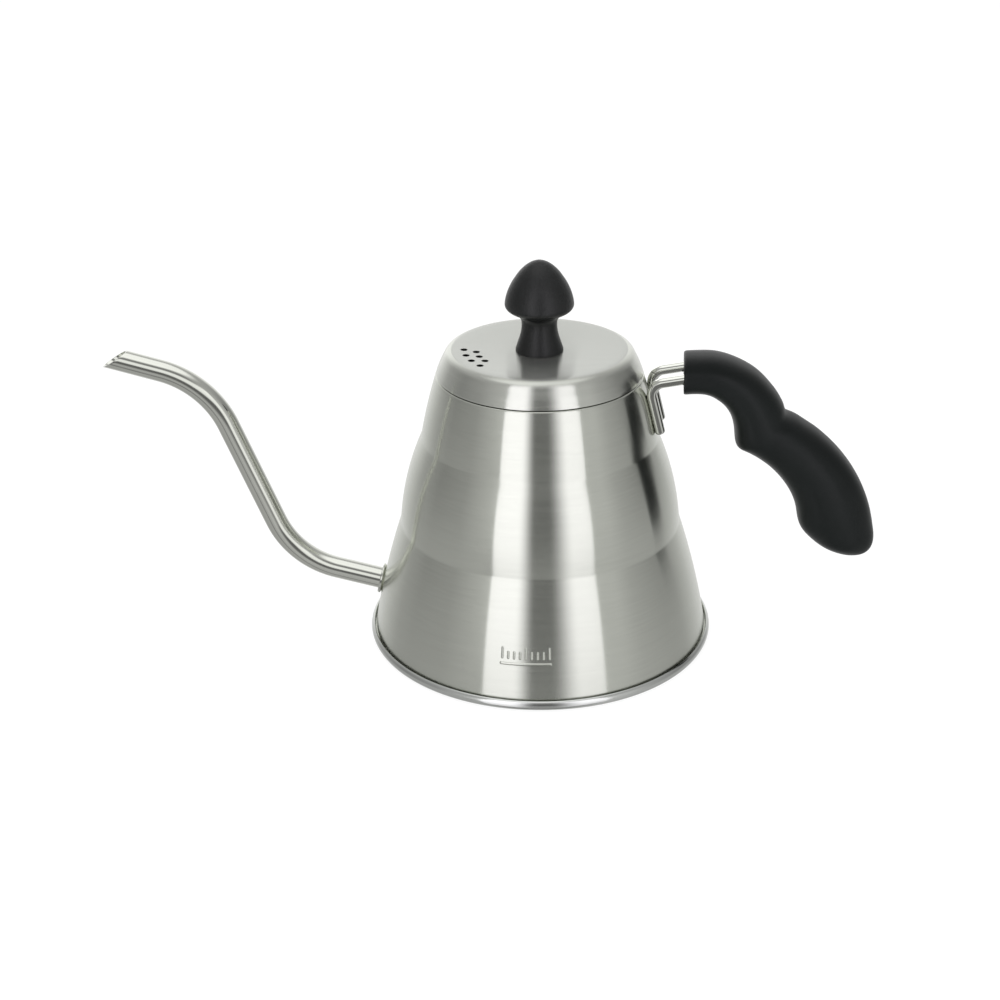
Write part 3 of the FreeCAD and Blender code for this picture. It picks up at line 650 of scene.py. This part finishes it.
# ------------------------------------------------------------ base with its rolled bead
a0, a1 = math.radians(-90), math.radians(bead_curl_deg)
curl_in = bead_r - sheet


def bead_pt(r, ang):
    return (bead_c[0] + r * math.cos(ang), bead_c[1] + r * math.sin(ang))


g0, g1 = groove_r - groove_half, groove_r + groove_half
bead_arc = [bead_pt(bead_r, a0 + (a1 - a0) * i / 30) for i in range(31)]
curl_arc = [bead_pt(curl_in, a1 + (a0 - a1) * i / 20) for i in range(21)]
lip = [bead_pt(bead_r - 0.08, a1 + 0.05), bead_pt((bead_r + curl_in) / 2, a1 + 0.09), bead_pt(curl_in + 0.08, a1 + 0.05)]
base_profile = chain(
    [(0.0, 0.0)], line((8.0, 0.0), (g0 - 1, 0.0), 6), line((g0 - 1, 0.0), (g0, groove_up), 3), line((g0, groove_up), (g1, groove_up), 3),
    line((g1, groove_up), (g1 + 1, 0.0), 3), line((g1 + 1, 0.0), (bead_c[0], 0.0), 3), bead_arc, lip, curl_arc,
    line((bead_c[0], sheet), (g1 + 1, sheet), 3), line((g1 + 1, sheet), (g1, sheet + groove_up), 3),
    line((g1, sheet + groove_up), (g0, sheet + groove_up), 3), line((g0, sheet + groove_up), (g0 - 1, sheet), 3),
    line((g0 - 1, sheet), (8.0, sheet), 6), [(0.0, sheet)])
base = lathe("base_with_bead", base_profile, 360, closed=False)
dress(base, bead_steel, "kettle", "bright_steel", "base_plate")

# ------------------------------------------------------------ spout
t1 = spout_knee_r * math.tan(math.radians((spout_rise_deg - spout_root_deg) / 2))
t2 = spout_crook_r * math.tan(math.radians((spout_rise_deg - spout_tip_deg) / 2))
sA = step(spout_root, uA, -spout_inside)
k0, k1 = step(spout_knee, uA, -t1), step(spout_knee, uB, t1)
q0, q1 = step(spout_crook, uB, -t2), step(spout_crook, uC, t2)


def left_of(u):
    return (-u[1], u[0])


# centres of the two bends: the knee turns up, the crook turns back down
nA = left_of(uA)
knee_c = step(k0, nA, -spout_knee_r)
if math.dist(knee_c, k1) > spout_knee_r * 1.01:
    knee_c = step(k0, nA, spout_knee_r)
nB = left_of(uB)
crook_c = step(q0, nB, spout_crook_r)
if math.dist(crook_c, q1) > spout_crook_r * 1.01:
    crook_c = step(q0, nB, -spout_crook_r)
spout_path = chain(line(sA, k0, 26), arc(knee_c, k0, k1, 40), line(k1, q0, 36), arc(crook_c, q0, q1, 40))


def tangents(path):
    out = []
    for i in range(len(path)):
        p, q = path[max(i - 1, 0)], path[min(i + 1, len(path) - 1)]
        d = math.dist(p, q)
        out.append(((q[0] - p[0]) / d, (q[1] - p[1]) / d))
    return out


def ring_at(p, u, r, segs, y=0.0):
    n = left_of(u)
    return [(p[0] + n[0] * r * math.cos(2 * math.pi * j / segs), y + r * math.sin(2 * math.pi * j / segs),
             p[1] + n[1] * r * math.cos(2 * math.pi * j / segs)) for j in range(segs)]


SP = 96
tan = tangents(spout_path)
tan[0], tan[-1] = uA, uC
lx, lz = spout_lip_high[0] - spout_lip_low[0], spout_lip_high[1] - spout_lip_low[1]
ln = math.hypot(lx, lz)
ahead = (-lz / ln, lx / ln)


def tip_ring(r, back):
    """Ring where the tube's side meets the slanted cut, set back along the tube."""
    out = []
    for x, y, z in ring_at(q1, uC, r, SP):
        d = ((spout_lip_low[0] - x) * ahead[0] + (spout_lip_low[1] - z) * ahead[1]) / (uC[0] * ahead[0] + uC[1] * ahead[1])
        d -= back
        out.append((x + uC[0] * d, y, z + uC[1] * d))
    return out


ro, ri, soft = spout_od / 2, spout_od / 2 - spout_wall, 0.14
outer = [ring_at(p, u, ro, SP) for p, u in zip(spout_path, tan)]
inner = [ring_at(p, u, ri, SP) for p, u in zip(spout_path, tan)]


def between(a, b, n):
    return [[tuple(pa + (pb - pa) * i / n for pa, pb in zip(x, y)) for x, y in zip(a, b)] for i in range(1, n + 1)]


rings = outer + between(outer[-1], tip_ring(ro, soft), 18)
for i in range(1, 5):
    a = math.pi / 2 * i / 4
    rings.append(tip_ring(ro - soft * (1 - math.cos(a)), soft * (1 - math.sin(a))))
for i in range(0, 5):
    a = math.pi / 2 * i / 4
    rings.append(tip_ring(ri + soft * (1 - math.sin(a)), soft * (1 - math.cos(a))))
rings += between(rings[-1], inner[-1], 18) + inner[::-1][1:]
spout = skin("spout", rings, closed=True)
dress(spout, bright_steel, "kettle", "bright_steel", "spout_tube")

# collar at the root, its back following the wall
uA3 = Vector((uA[0], 0, uA[1]))
side3, up3 = Vector((0, 1, 0)), Vector((-uA[1], 0, uA[0]))
face = Vector((spout_root[0], 0, spout_root[1]))


def to_wall(off):
    """How far behind the collar's face a line along the spout meets the wall."""
    lo, hi = -1.0, 6.0
    for _ in range(40):
        mid = (lo + hi) / 2
        p = face + off - uA3 * mid
        if math.hypot(p.x, p.y) > wall_r(p.z):
            lo = mid
        else:
            hi = mid
    return lo


CS = 96
collar_rings = []
co_r, ci_r = collar_od / 2, spout_od / 2 + 0.02


def collar_ring(r, back=None, off_wall=0.0):
    out = []
    for j in range(CS):
        a = 2 * math.pi * j / CS
        off = up3 * (r * math.cos(a)) + side3 * (r * math.sin(a))
        b = back if back is not None else to_wall(off) - off_wall
        out.append(tuple(face + off - uA3 * b))
    return out


collar_rings.append(collar_ring(ci_r, None, 0.0))
collar_rings.append(collar_ring(co_r - 0.9, None, 0.0))
collar_rings.append(collar_ring(co_r - 0.5, None, 0.35))
collar_rings.append(collar_ring(co_r - 0.15, None, 0.6))
collar_rings.append(collar_ring(co_r, None, 0.85))
for i in range(0, 6):
    a = math.pi / 2 * i / 5
    collar_rings.append(collar_ring(co_r - collar_edge * (1 - math.cos(a)), collar_edge * (1 - math.sin(a))))
collar_rings.append(collar_ring(ci_r + 0.12, 0.0))
collar_rings.append(collar_ring(ci_r, 0.12))
collar = skin("spout_root_collar", collar_rings, closed=True)
dress(collar, bright_steel, "kettle", "bright_steel", "spout_collar")

# ------------------------------------------------------------ handle rods
def wall_x(z):
    r = on_circle(c_top, r_top, z)[0]
    return math.sqrt(r * r - rod_y * rod_y)


za, zb = rod_leg_low_z, 105.0
slope = (wall_x(zb) - wall_x(za)) / (zb - za)
r_here = on_circle(c_top, r_top, (za + zb) / 2)[0]
stand = (rod_d / 2 - rod_sink) * math.sqrt(1 + slope * slope) * r_here / math.sqrt(r_here ** 2 - rod_y ** 2)
leg_a, leg_b = (wall_x(za) + stand, za), (wall_x(zb) + stand, zb)
nl = math.dist(leg_a, leg_b)
ul = ((leg_b[0] - leg_a[0]) / nl, (leg_b[1] - leg_a[1]) / nl)
ur = (math.cos(math.radians(rod_run_deg)), math.sin(math.radians(rod_run_deg)))
den = ul[0] * ur[1] - ul[1] * ur[0]
wx, wz = rod_run_point[0] - leg_a[0], rod_run_point[1] - leg_a[1]
corner = step(leg_a, ul, (wx * ur[1] - wz * ur[0]) / den)
tb = rod_bend_r * math.tan(math.acos(ul[0] * ur[0] + ul[1] * ur[1]) / 2)
b0, b1 = step(corner, ul, -tb), step(corner, ur, tb)
arc_start = step(rod_run_point, ur, (rod_arc_x - rod_run_point[0]) / ur[0])
arc_c = (arc_start[0] + rod_arc_r * ur[1], arc_start[1] - rod_arc_r * ur[0])
start_deg = 90 + rod_run_deg


def on_arc(deg, r=rod_arc_r):
    return (arc_c[0] + r * math.cos(math.radians(deg)), arc_c[1] + r * math.sin(math.radians(deg)))


bend_c = step(b0, (ul[1], -ul[0]), rod_bend_r)
rod_path = chain(line(leg_a, b0, 18), arc(bend_c, b0, b1, 26), line(b1, arc_start, 14),
                 arc(arc_c, arc_start, on_arc(start_deg - rod_arc_deg), 24))
RS = 56
for name, y, node in (("rod_front", -rod_y, "handle_rod_front"), ("rod_back", rod_y, "handle_rod_back")):
    tr = tangents(rod_path)
    tr[0] = ul
    rr = rod_d / 2
    tip = [ring_at(step(leg_a, ul, -rod_tip), ul, k, RS, y) for k in (0.35, 0.6)]
    for i in range(0, 9):
        a = math.pi / 2 * i / 8
        tip.append(ring_at(step(leg_a, ul, -rod_tip + rod_tip_edge * (1 - math.cos(a))), ul,
                           rr - rod_tip_edge * (1 - math.sin(a)), RS, y))
    body_rings = [ring_at(p, u, rr, RS, y) for p, u in zip(rod_path, tr)]
    p0, p1 = step(leg_a, ul, -rod_tip), rod_path[-1]
    rod = skin(name, tip + body_rings, (p0[0], y, p0[1]), (p1[0], y, p1[1]))
    dress(rod, rod_steel, "kettle", "bright_steel", node)

# ------------------------------------------------------------ grip
GR = 120


def section(up, dn, half):
    mx, mz = (up[0] + dn[0]) / 2, (up[1] + dn[1]) / 2
    hx, hz = (up[0] - dn[0]) / 2, (up[1] - dn[1]) / 2
    pts = []
    for i in range(GR):
        t = 2 * math.pi * i / GR
        cs, sn = math.cos(t), math.sin(t)
        u = math.copysign(abs(cs) ** (2 / grip_power), cs)
        w = math.copysign(abs(sn) ** (2 / grip_power), sn)
        pts.append((mx + hx * u, half * w, mz + hz * u))
    return pts


rows = cubic([(u[0], u[1], d[0], d[1], w) for u, d, w in grip_stations], 8)
grip_rings = [section((r[0], r[1]), (r[2], r[3]), r[4]) for r in rows]
first, last = rows[0], rows[-1]
face_c = ((first[0] + first[2]) / 2, 0.0, (first[1] + first[3]) / 2)
inset = [[tuple(c + (p - c) * k for p, c in zip(q, face_c)) for q in grip_rings[0]] for k in (0.35, 0.7, 0.93)]
end_c = ((last[0] + last[2]) / 2, 0.0, (last[1] + last[3]) / 2 - 0.22)
grip = skin("grip_moulding", inset + grip_rings, face_c, end_c, sharp_deg=50.0)
# the counterbore for the screw below
tie_c = on_arc(tie_at_deg)
tie_n = (math.cos(math.radians(tie_at_deg)), math.sin(math.radians(tie_at_deg)))
b_lo, b_hi = step(tie_c, tie_n, -30), step(tie_c, tie_n, head_seat)
cutter = rod_between((b_lo[0], 0, b_lo[1]), (b_hi[0], 0, b_hi[1]), grip_head_r + 0.3, 64)
grip = cut(grip, [cutter], 50.0)
dress(grip, grip_black, "kettle", "grip_black", "grip")

# ------------------------------------------------------------ lid
lid_top = cubic(lid_profile, 5)
under = offset(lid_profile, sheet)
under[0] = (lid_profile[0][0] - sheet, lid_profile[0][1])
under[-1] = (under[-1][0], lid_top_z - sheet)
lid_under = cubic(under, 4)
e_in = lid_profile[0][0] - sheet
edge = [(e_in + 0.12, lid_profile[0][1] - 0.0), (e_in + 0.35, lid_profile[0][1] - 0.0), (lid_profile[0][0] - 0.1, lid_profile[0][1])]
lid_loop = chain(lid_top, line(lid_profile[-1], (lid_hole_r, lid_top_z), 5),
                 line((lid_hole_r, lid_top_z), (lid_hole_r, lid_top_z - sheet), 2),
                 line((lid_hole_r, lid_top_z - sheet), under[-1], 4), lid_under[::-1], edge)
lid = lathe("lid", lid_loop, 360)
holes = []


def vent_punch(x, y, top, segs=40):
    """Straight at the skin, opening out below it as a punched hole does."""
    rows = [(top + 3.0, vent_r), (top - 0.2, vent_r), (top - sheet - 0.15, vent_r + 0.9), (top - 3.0, vent_r + 0.9)]
    rings = [[(x + r * math.cos(2 * math.pi * j / segs), y + r * math.sin(2 * math.pi * j / segs), z)
              for j in range(segs)] for z, r in rows]
    return skin("cutter", rings, (x, y, rows[0][0]), (x, y, rows[-1][0]))


def skin_z(r):
    """Height of the lid's upper face at a radius of its dish."""
    for (ra, za_), (rb, zb_) in zip(lid_top, lid_top[1:]):
        if rb <= r <= ra and za_ > 121.0:
            return za_ + (zb_ - za_) * (ra - r) / (ra - rb)
    return lid_top_z


for r, deg in vents:
    x, y = r * math.cos(math.radians(deg)), r * math.sin(math.radians(deg))
    holes.append(vent_punch(x, y, skin_z(r)))
lid = cut(lid, holes)
dress(lid, lid_steel, "lid", "wall_steel", "lid_shell")
# the dished top is brushed straight across, from spout to handle
lid.data.materials.append(lid_top_steel)
top_uv = lid.data.uv_layers["brush"].uv
for poly in lid.data.polygons:
    c = poly.center
    if poly.normal.z > 0.9 and math.hypot(c.x, c.y) < 34.2 * MM and c.z > (lid_top_z - 0.1) * MM:
        poly.material_index = 1
        for li in poly.loop_indices:
            v = lid.data.vertices[lid.data.loops[li].vertex_index].co
            top_uv[li].vector = (v.y * 5, v.x * 5)

fl = sleeve_flange_z
skirt = next(r for (r, z), (r2, z2) in zip(lid_under, lid_under[1:]) if z2 > fl) - 0.02
skirt_hi = next(r for (r, z), (r2, z2) in zip(lid_under, lid_under[1:]) if z2 > fl + sheet) - 0.05
sleeve_loop = chain(
    [(sleeve_in_r + 0.1, sleeve_low_z), (sleeve_out_r - 0.1, sleeve_low_z), (sleeve_out_r, sleeve_low_z + 0.1)],
    line((sleeve_out_r, sleeve_low_z + 0.1), (sleeve_out_r, fl), 6), [(skirt, fl), (skirt_hi, fl + sheet)],
    arc((sleeve_in_r + 0.9, fl + sheet - 0.9), (sleeve_in_r + 0.9, fl + sheet), (sleeve_in_r, fl + sheet - 0.9), 6),
    line((sleeve_in_r, fl + sheet - 0.9), (sleeve_in_r, sleeve_low_z + 0.1), 6))
sleeve = lathe("lid_inner_sleeve", sleeve_loop, 240)
dress(sleeve, lid_steel, "lid", "plain_steel", "lid_sleeve")

# ------------------------------------------------------------ knob
knob_curve = cubic(knob_profile, 5, ends=((-0.1, 1.0), (-1.0, 0.0)))
knob_curve[-1] = (0.0, knob_profile[-1][1])
knob_loop = chain(line((4.62, lid_top_z), (knob_profile[0][0] - 0.25, lid_top_z), 3),
                  [(knob_profile[0][0] - 0.07, lid_top_z + 0.07)], knob_curve[2:])
inside = [(0.0, insert_high_z + 0.2), (2.05, insert_high_z), (3.52, insert_high_z), (3.52, lid_top_z + 1.02), (4.62, lid_top_z + 1.02)]
knob = lathe("lid_knob", inside + knob_loop, 160, closed=False, sharp_deg=40.0)
dress(knob, knob_black, "lid", "knob_black", "knob")

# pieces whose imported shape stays
for name, mat in (("handle_tie_plate", plain_steel), ("grip_screw", plain_steel), ("knob_insert", insert_brass),
                  ("knob_washer", plain_steel), ("knob_screw", plain_steel)):
    o = nodes[name]
    o.data.materials.clear()
    o.data.materials.append(mat)

# ------------------------------------------------------------ stage
def plain(name, colour, strength, diffuse):
    m = bpy.data.materials.new(name)
    m.use_nodes = True
    t = m.node_tree
    t.nodes.clear()
    out = t.nodes.new("ShaderNodeOutputMaterial")
    add = t.nodes.new("ShaderNodeAddShader")
    em = t.nodes.new("ShaderNodeEmission")
    em.inputs[0].default_value = (*colour, 1)
    em.inputs[1].default_value = strength
    di = t.nodes.new("ShaderNodeBsdfDiffuse")
    di.inputs[0].default_value = (*[c * diffuse for c in colour], 1)
    t.links.new(em.outputs[0], add.inputs[0])
    t.links.new(di.outputs[0], add.inputs[1])
    t.links.new(add.outputs[0], out.inputs[0])
    return m


def stage_mesh(name, verts, faces, mat):
    me = bpy.data.meshes.new(name)
    me.from_pydata(verts, [], faces)
    ob = bpy.data.objects.new(name, me)
    scene.collection.objects.link(ob)
    me.materials.append(mat)
    return ob


S = 5.0
floor = stage_mesh("floor", [(-S, -S, -0.0002), (S, -S, -0.0002), (S, S, -0.0002), (-S, S, -0.0002)], [(0, 1, 2, 3)],
                   plain("floor_paper", (1.0, 1.0, 1.0), 0.86, 0.28))
floor.visible_glossy = False
dome_v, dome_f = [], []
for i in range(13):
    e = math.radians(-8 + 98 * i / 12)
    for j in range(48):
        a = 2 * math.pi * j / 48
        dome_v.append((S * math.cos(e) * math.cos(a), S * math.cos(e) * math.sin(a), S * math.sin(e)))
for i in range(12):
    for j in range(48):
        k = (j + 1) % 48
        dome_f.append((i * 48 + j, i * 48 + k, (i + 1) * 48 + k, (i + 1) * 48 + j))
back = stage_mesh("backdrop", dome_v, dome_f, plain("backdrop_paper", (1.0, 1.0, 1.0), 1.0, 0.0))
for k in ("visible_diffuse", "visible_glossy", "visible_transmission", "visible_shadow", "visible_volume_scatter"):
    setattr(back, k, False)

# ------------------------------------------------------------ camera
PSI = math.radians(4.0)
th, yaw, ro_ = math.radians(25.56), math.radians(-1.462), math.radians(-0.756)
fw = Vector((math.sin(yaw) * math.cos(th), math.cos(yaw) * math.cos(th), -math.sin(th)))
rt = fw.cross(Vector((0, 0, 1))).normalized()
upv = rt.cross(fw)
right = rt * math.cos(ro_) + upv * math.sin(ro_)
up = -rt * math.sin(ro_) + upv * math.cos(ro_)
turn = Matrix.Rotation(PSI, 3, "Z")
fw, right, up = turn @ fw, turn @ right, turn @ up
cam_data = bpy.data.cameras.new("camera")
cam_data.sensor_width = 36.0
cam_data.lens = 1729.3 * 36.0 / 1000.0
cam_data.clip_start, cam_data.clip_end = 0.01, 60.0
cam = bpy.data.objects.new("camera", cam_data)
scene.collection.objects.link(cam)
m = Matrix.Identity(4)
for i in range(3):
    m[i][0], m[i][1], m[i][2] = right[i], up[i], -fw[i]
m[0][3], m[1][3], m[2][3] = 0.04395, -0.62847, 0.35784
cam.matrix_world = m
scene.camera = cam

# ------------------------------------------------------------ light: a soft tent
# A white screen hangs in front, with a dark opening for the lens. Behind it the front of
# the tent is dim, its sides fall off to grey, and its back and roof are white. The screen
# is bright for the body, lid and grip; a softer fill does its work on the bent tubes.
def ease(t, value, a, b, lo, hi):
    n = t.nodes.new("ShaderNodeMapRange")
    n.interpolation_type = "SMOOTHSTEP"
    n.inputs["From Min"].default_value, n.inputs["From Max"].default_value = a, b
    n.inputs["To Min"].default_value, n.inputs["To Max"].default_value = lo, hi
    t.links.new(value, n.inputs["Value"])
    return n.outputs["Result"]


def times(t, *values):
    out = values[0]
    for v in values[1:]:
        out = math_node(t, "MULTIPLY", out, v)
    return out


def blend(t, a, b, f):
    n = t.nodes.new("ShaderNodeMix")
    n.data_type = "FLOAT"
    t.links.new(f, n.inputs["Factor"])
    for socket, v in ((n.inputs[2], a), (n.inputs[3], b)):
        if isinstance(v, (int, float)):
            socket.default_value = v
        else:
            t.links.new(v, socket)
    return n.outputs[0]


def directions(t, vector):
    """Angle round from the lens, in radians, and height over the horizon in degrees."""
    rot = t.nodes.new("ShaderNodeVectorRotate")
    rot.rotation_type = "Z_AXIS"
    rot.inputs["Angle"].default_value = -PSI
    t.links.new(vector, rot.inputs["Vector"])
    unit_ = t.nodes.new("ShaderNodeVectorMath")
    unit_.operation = "NORMALIZE"
    t.links.new(rot.outputs[0], unit_.inputs[0])
    sep = t.nodes.new("ShaderNodeSeparateXYZ")
    t.links.new(unit_.outputs[0], sep.inputs[0])
    around = math_node(t, "ARCTAN2", sep.outputs[0], math_node(t, "MULTIPLY", sep.outputs[1], -1.0))
    high = math_node(t, "MULTIPLY", math_node(t, "ARCSINE", sep.outputs[2]), 180 / math.pi)
    return around, high


def round_ramp(t, around, stops):
    """Brightness round the tent from a few stops, in degrees from the lens."""
    ramp = t.nodes.new("ShaderNodeValToRGB")
    t.links.new(math_node(t, "ADD", math_node(t, "DIVIDE", around, 2 * math.pi), 0.5), ramp.inputs[0])
    el = ramp.color_ramp
    while len(el.elements) > 1:
        el.elements.remove(el.elements[-1])
    el.elements[0].position = 0.0
    for i, (deg, v) in enumerate(stops):
        e = el.elements[0] if i == 0 else el.elements.new((deg + 180) / 360)
        e.color = (v, v, v, 1)
    return ramp.outputs[0]


def glow(name, colour):
    """See-through sheet that gives off light: its tree and the strength to set."""
    m = bpy.data.materials.new(name)
    m.use_nodes = True
    t = m.node_tree
    t.nodes.clear()
    out = t.nodes.new("ShaderNodeOutputMaterial")
    add = t.nodes.new("ShaderNodeAddShader")
    em = t.nodes.new("ShaderNodeEmission")
    em.inputs[0].default_value = (*colour, 1)
    clear = t.nodes.new("ShaderNodeBsdfTransparent")
    t.links.new(em.outputs[0], add.inputs[0])
    t.links.new(clear.outputs[0], add.inputs[1])
    t.links.new(add.outputs[0], out.inputs[0])
    co = t.nodes.new("ShaderNodeTexCoord")
    return m, t, em.inputs[1], co.outputs["Object"]


def lights_up(lamp, group, obs, state):
    """Says which pieces a sheet lights, or which it leaves alone."""
    lamp.visible_camera = False
    lamp.visible_shadow = False
    c = bpy.data.collections.new(group)
    for o in obs:
        c.objects.link(o)
    for link in c.collection_objects:
        link.light_linking.link_state = state
    lamp.light_linking.receiver_collection = c


tubes = [spout, collar] + [bpy.data.objects[n] for n in ("rod_front", "rod_back")]

screen_y, screen_lo, screen_hi, screen_low, screen_top = -0.45, -0.268, 0.452, -0.35, 0.65
sm, t, strength, place = glow("front_screen", (1.02, 0.995, 1.05))
s_xyz = t.nodes.new("ShaderNodeSeparateXYZ")
t.links.new(place, s_xyz.inputs[0])
sx, sz = s_xyz.outputs[0], s_xyz.outputs[2]
opening = times(t, ease(t, sx, -0.10, 0.0, 0.0, 1.0), ease(t, sx, 0.085, 0.26, 1.0, 0.0), ease(t, sz, 0.40, 0.74, 1.0, 0.0))
value = math_node(t, "ADD", times(t, opening, -1.43), 1.43)
value = times(t, value, ease(t, sx, 0.0, 0.3, 1.0, 0.93), ease(t, sz, -0.14, 0.04, 0.56, 1.0), ease(t, sz, 0.60, 0.62, 1.0, 0.25))
t.links.new(value, strength)
screen = stage_mesh("front_screen", [(screen_lo, screen_y, screen_low), (screen_hi, screen_y, screen_low),
                                     (screen_hi, screen_y, screen_top), (screen_lo - 0.012, screen_y, screen_top)], [(0, 1, 2, 3)], sm)
lights_up(screen, "not_front_screen", tubes, "EXCLUDE")


def dome_patch(name, mat, far, deg_lo, deg_hi, el_lo, el_hi, obs, state="INCLUDE"):
    """Piece of a wide dome round the kettle that lights only some pieces."""
    v, f = [], []
    for i in range(13):
        e = math.radians(el_lo + (el_hi - el_lo) * i / 12)
        for j in range(25):
            a = math.radians(deg_lo + (deg_hi - deg_lo) * j / 24)
            v.append((far * math.cos(e) * math.sin(a), -far * math.cos(e) * math.cos(a), far * math.sin(e)))
    for i in range(12):
        for j in range(24):
            f.append((i * 25 + j, i * 25 + j + 1, (i + 1) * 25 + j + 1, (i + 1) * 25 + j))
    lights_up(stage_mesh(name, v, f, mat), name + "_group", obs, state)


def patch_glow(name):
    m, t, strength, place = glow(name, (1.0, 1.0, 1.0))
    around, high = directions(t, place)
    return m, t, strength, math_node(t, "MULTIPLY", around, 180 / math.pi), high


# white in front for the bent tubes
fm, t, strength, side, high = patch_glow("tube_fill")
upper = times(t, ease(t, high, 6.0, 17.0, 0.0, 1.0), ease(t, side, -40.0, -24.0, 0.0, 1.0), ease(t, side, 18.0, 30.0, 1.0, 0.0))
right_ = times(t, ease(t, high, -14.0, -4.0, 0.0, 1.05), ease(t, side, 18.0, 30.0, 0.0, 1.0))
value = times(t, math_node(t, "ADD", upper, right_), ease(t, high, 32.0, 44.0, 1.0, 0.0), ease(t, side, 38.0, 50.0, 1.0, 0.0))
t.links.new(value, strength)
dome_patch("tube_fill", fm, 4.0, -48, 56, -20, 50, tubes)

# light off the table in front: on the spout, and softer on everything but the tubes
lm, t, strength, side, high = patch_glow("low_fill")
value = math_node(t, "ADD", ease(t, side, -22.0, -4.0, 0.0, 0.12), 0.34)
t.links.new(times(t, value, ease(t, high, -20.0, -6.0, 1.0, 0.0), ease(t, side, -40.0, -28.0, 0.0, 1.0),
                  ease(t, side, 30.0, 44.0, 1.0, 0.0)), strength)
dome_patch("low_fill", lm, 4.1, -48, 52, -60, -2, tubes[:2])
tm, t, strength, side, high = patch_glow("table_fill")
t.links.new(times(t, ease(t, high, -15.0, -1.0, 0.18, 0.0), ease(t, side, -45.0, -36.0, 0.0, 1.0), ease(t, side, 41.0, 46.0, 1.0, 0.0)), strength)
dome_patch("table_fill", tm, 4.2, -50, 50, -70, 1, tubes, "EXCLUDE")

# white behind for the rods, and a roof over everything but the grip
bm_, t, strength, side, high = patch_glow("back_fill")
t.links.new(times(t, ease(t, high, 2.0, 10.0, 0.0, 0.8), ease(t, high, 40.0, 54.0, 1.0, 0.0),
                  ease(t, math_node(t, "ABSOLUTE", side), 125.0, 147.0, 0.0, 1.0)), strength)
dome_patch("back_fill", bm_, 4.3, 115, 245, 0, 60, tubes[2:])
rm, t, strength, side, high = patch_glow("roof_fill")
t.links.new(ease(t, high, 51.0, 68.0, 0.0, 0.67), strength)
dome_patch("roof_fill", rm, 4.4, -180, 180, 48, 89.9, [grip], "EXCLUDE")
um, t, strength, side, high = patch_glow("tube_roof")
t.links.new(ease(t, high, 56.0, 70.0, 0.0, 0.3), strength)
dome_patch("tube_roof", um, 4.5, -180, 180, 50, 89.9, tubes)

world = bpy.data.worlds.new("tent")
scene.world = world
world.use_nodes = True
t = world.node_tree
t.nodes.clear()
w_out = t.nodes.new("ShaderNodeOutputWorld")
w_bg = t.nodes.new("ShaderNodeBackground")
t.links.new(w_bg.outputs[0], w_out.inputs[0])
w_co = t.nodes.new("ShaderNodeTexCoord")
around, high = directions(t, w_co.outputs["Generated"])
horizon = round_ramp(t, around, [(-180, 1.5), (-157, 1.55), (-142, 0.97), (-125, 0.55), (-97, 0.35), (-68, 0.47), (-46, 0.78), (-39, 0.95),
                                 (-37, 0.9), (-35.5, 0.2), (41.5, 0.2), (43.5, 0.85), (58, 0.82), (72, 0.6), (98, 0.37), (116, 0.41),
                                 (132, 0.52), (147, 0.97), (162, 1.3), (180, 1.5)])
belt = round_ramp(t, around, [(-180, 0.75), (-60, 0.62), (-38, 0.5), (-30, 0.36), (26, 0.36), (40, 0.6), (120, 0.62), (180, 0.75)])
table = round_ramp(t, around, [(-180, 1.2), (-150, 1.0), (-115, 0.56), (-45, 0.63), (-36, 0.24), (41, 0.24), (46, 0.8), (75, 0.68),
                               (115, 0.6), (150, 1.0), (180, 1.2)])
roof = math_node(t, "ADD", times(t, math_node(t, "SINE", around), -0.1), 0.55)
lit = blend(t, horizon, belt, ease(t, high, 14.0, 50.0, 0.0, 1.0))
lit = blend(t, lit, roof, ease(t, high, 51.0, 68.0, 0.0, 1.0))
lit = blend(t, lit, table, ease(t, high, -15.0, -1.0, 1.0, 0.0))
t.links.new(lit, w_bg.inputs[1])

scene.view_settings.view_transform = "Standard"
scene.view_settings.look = "None"
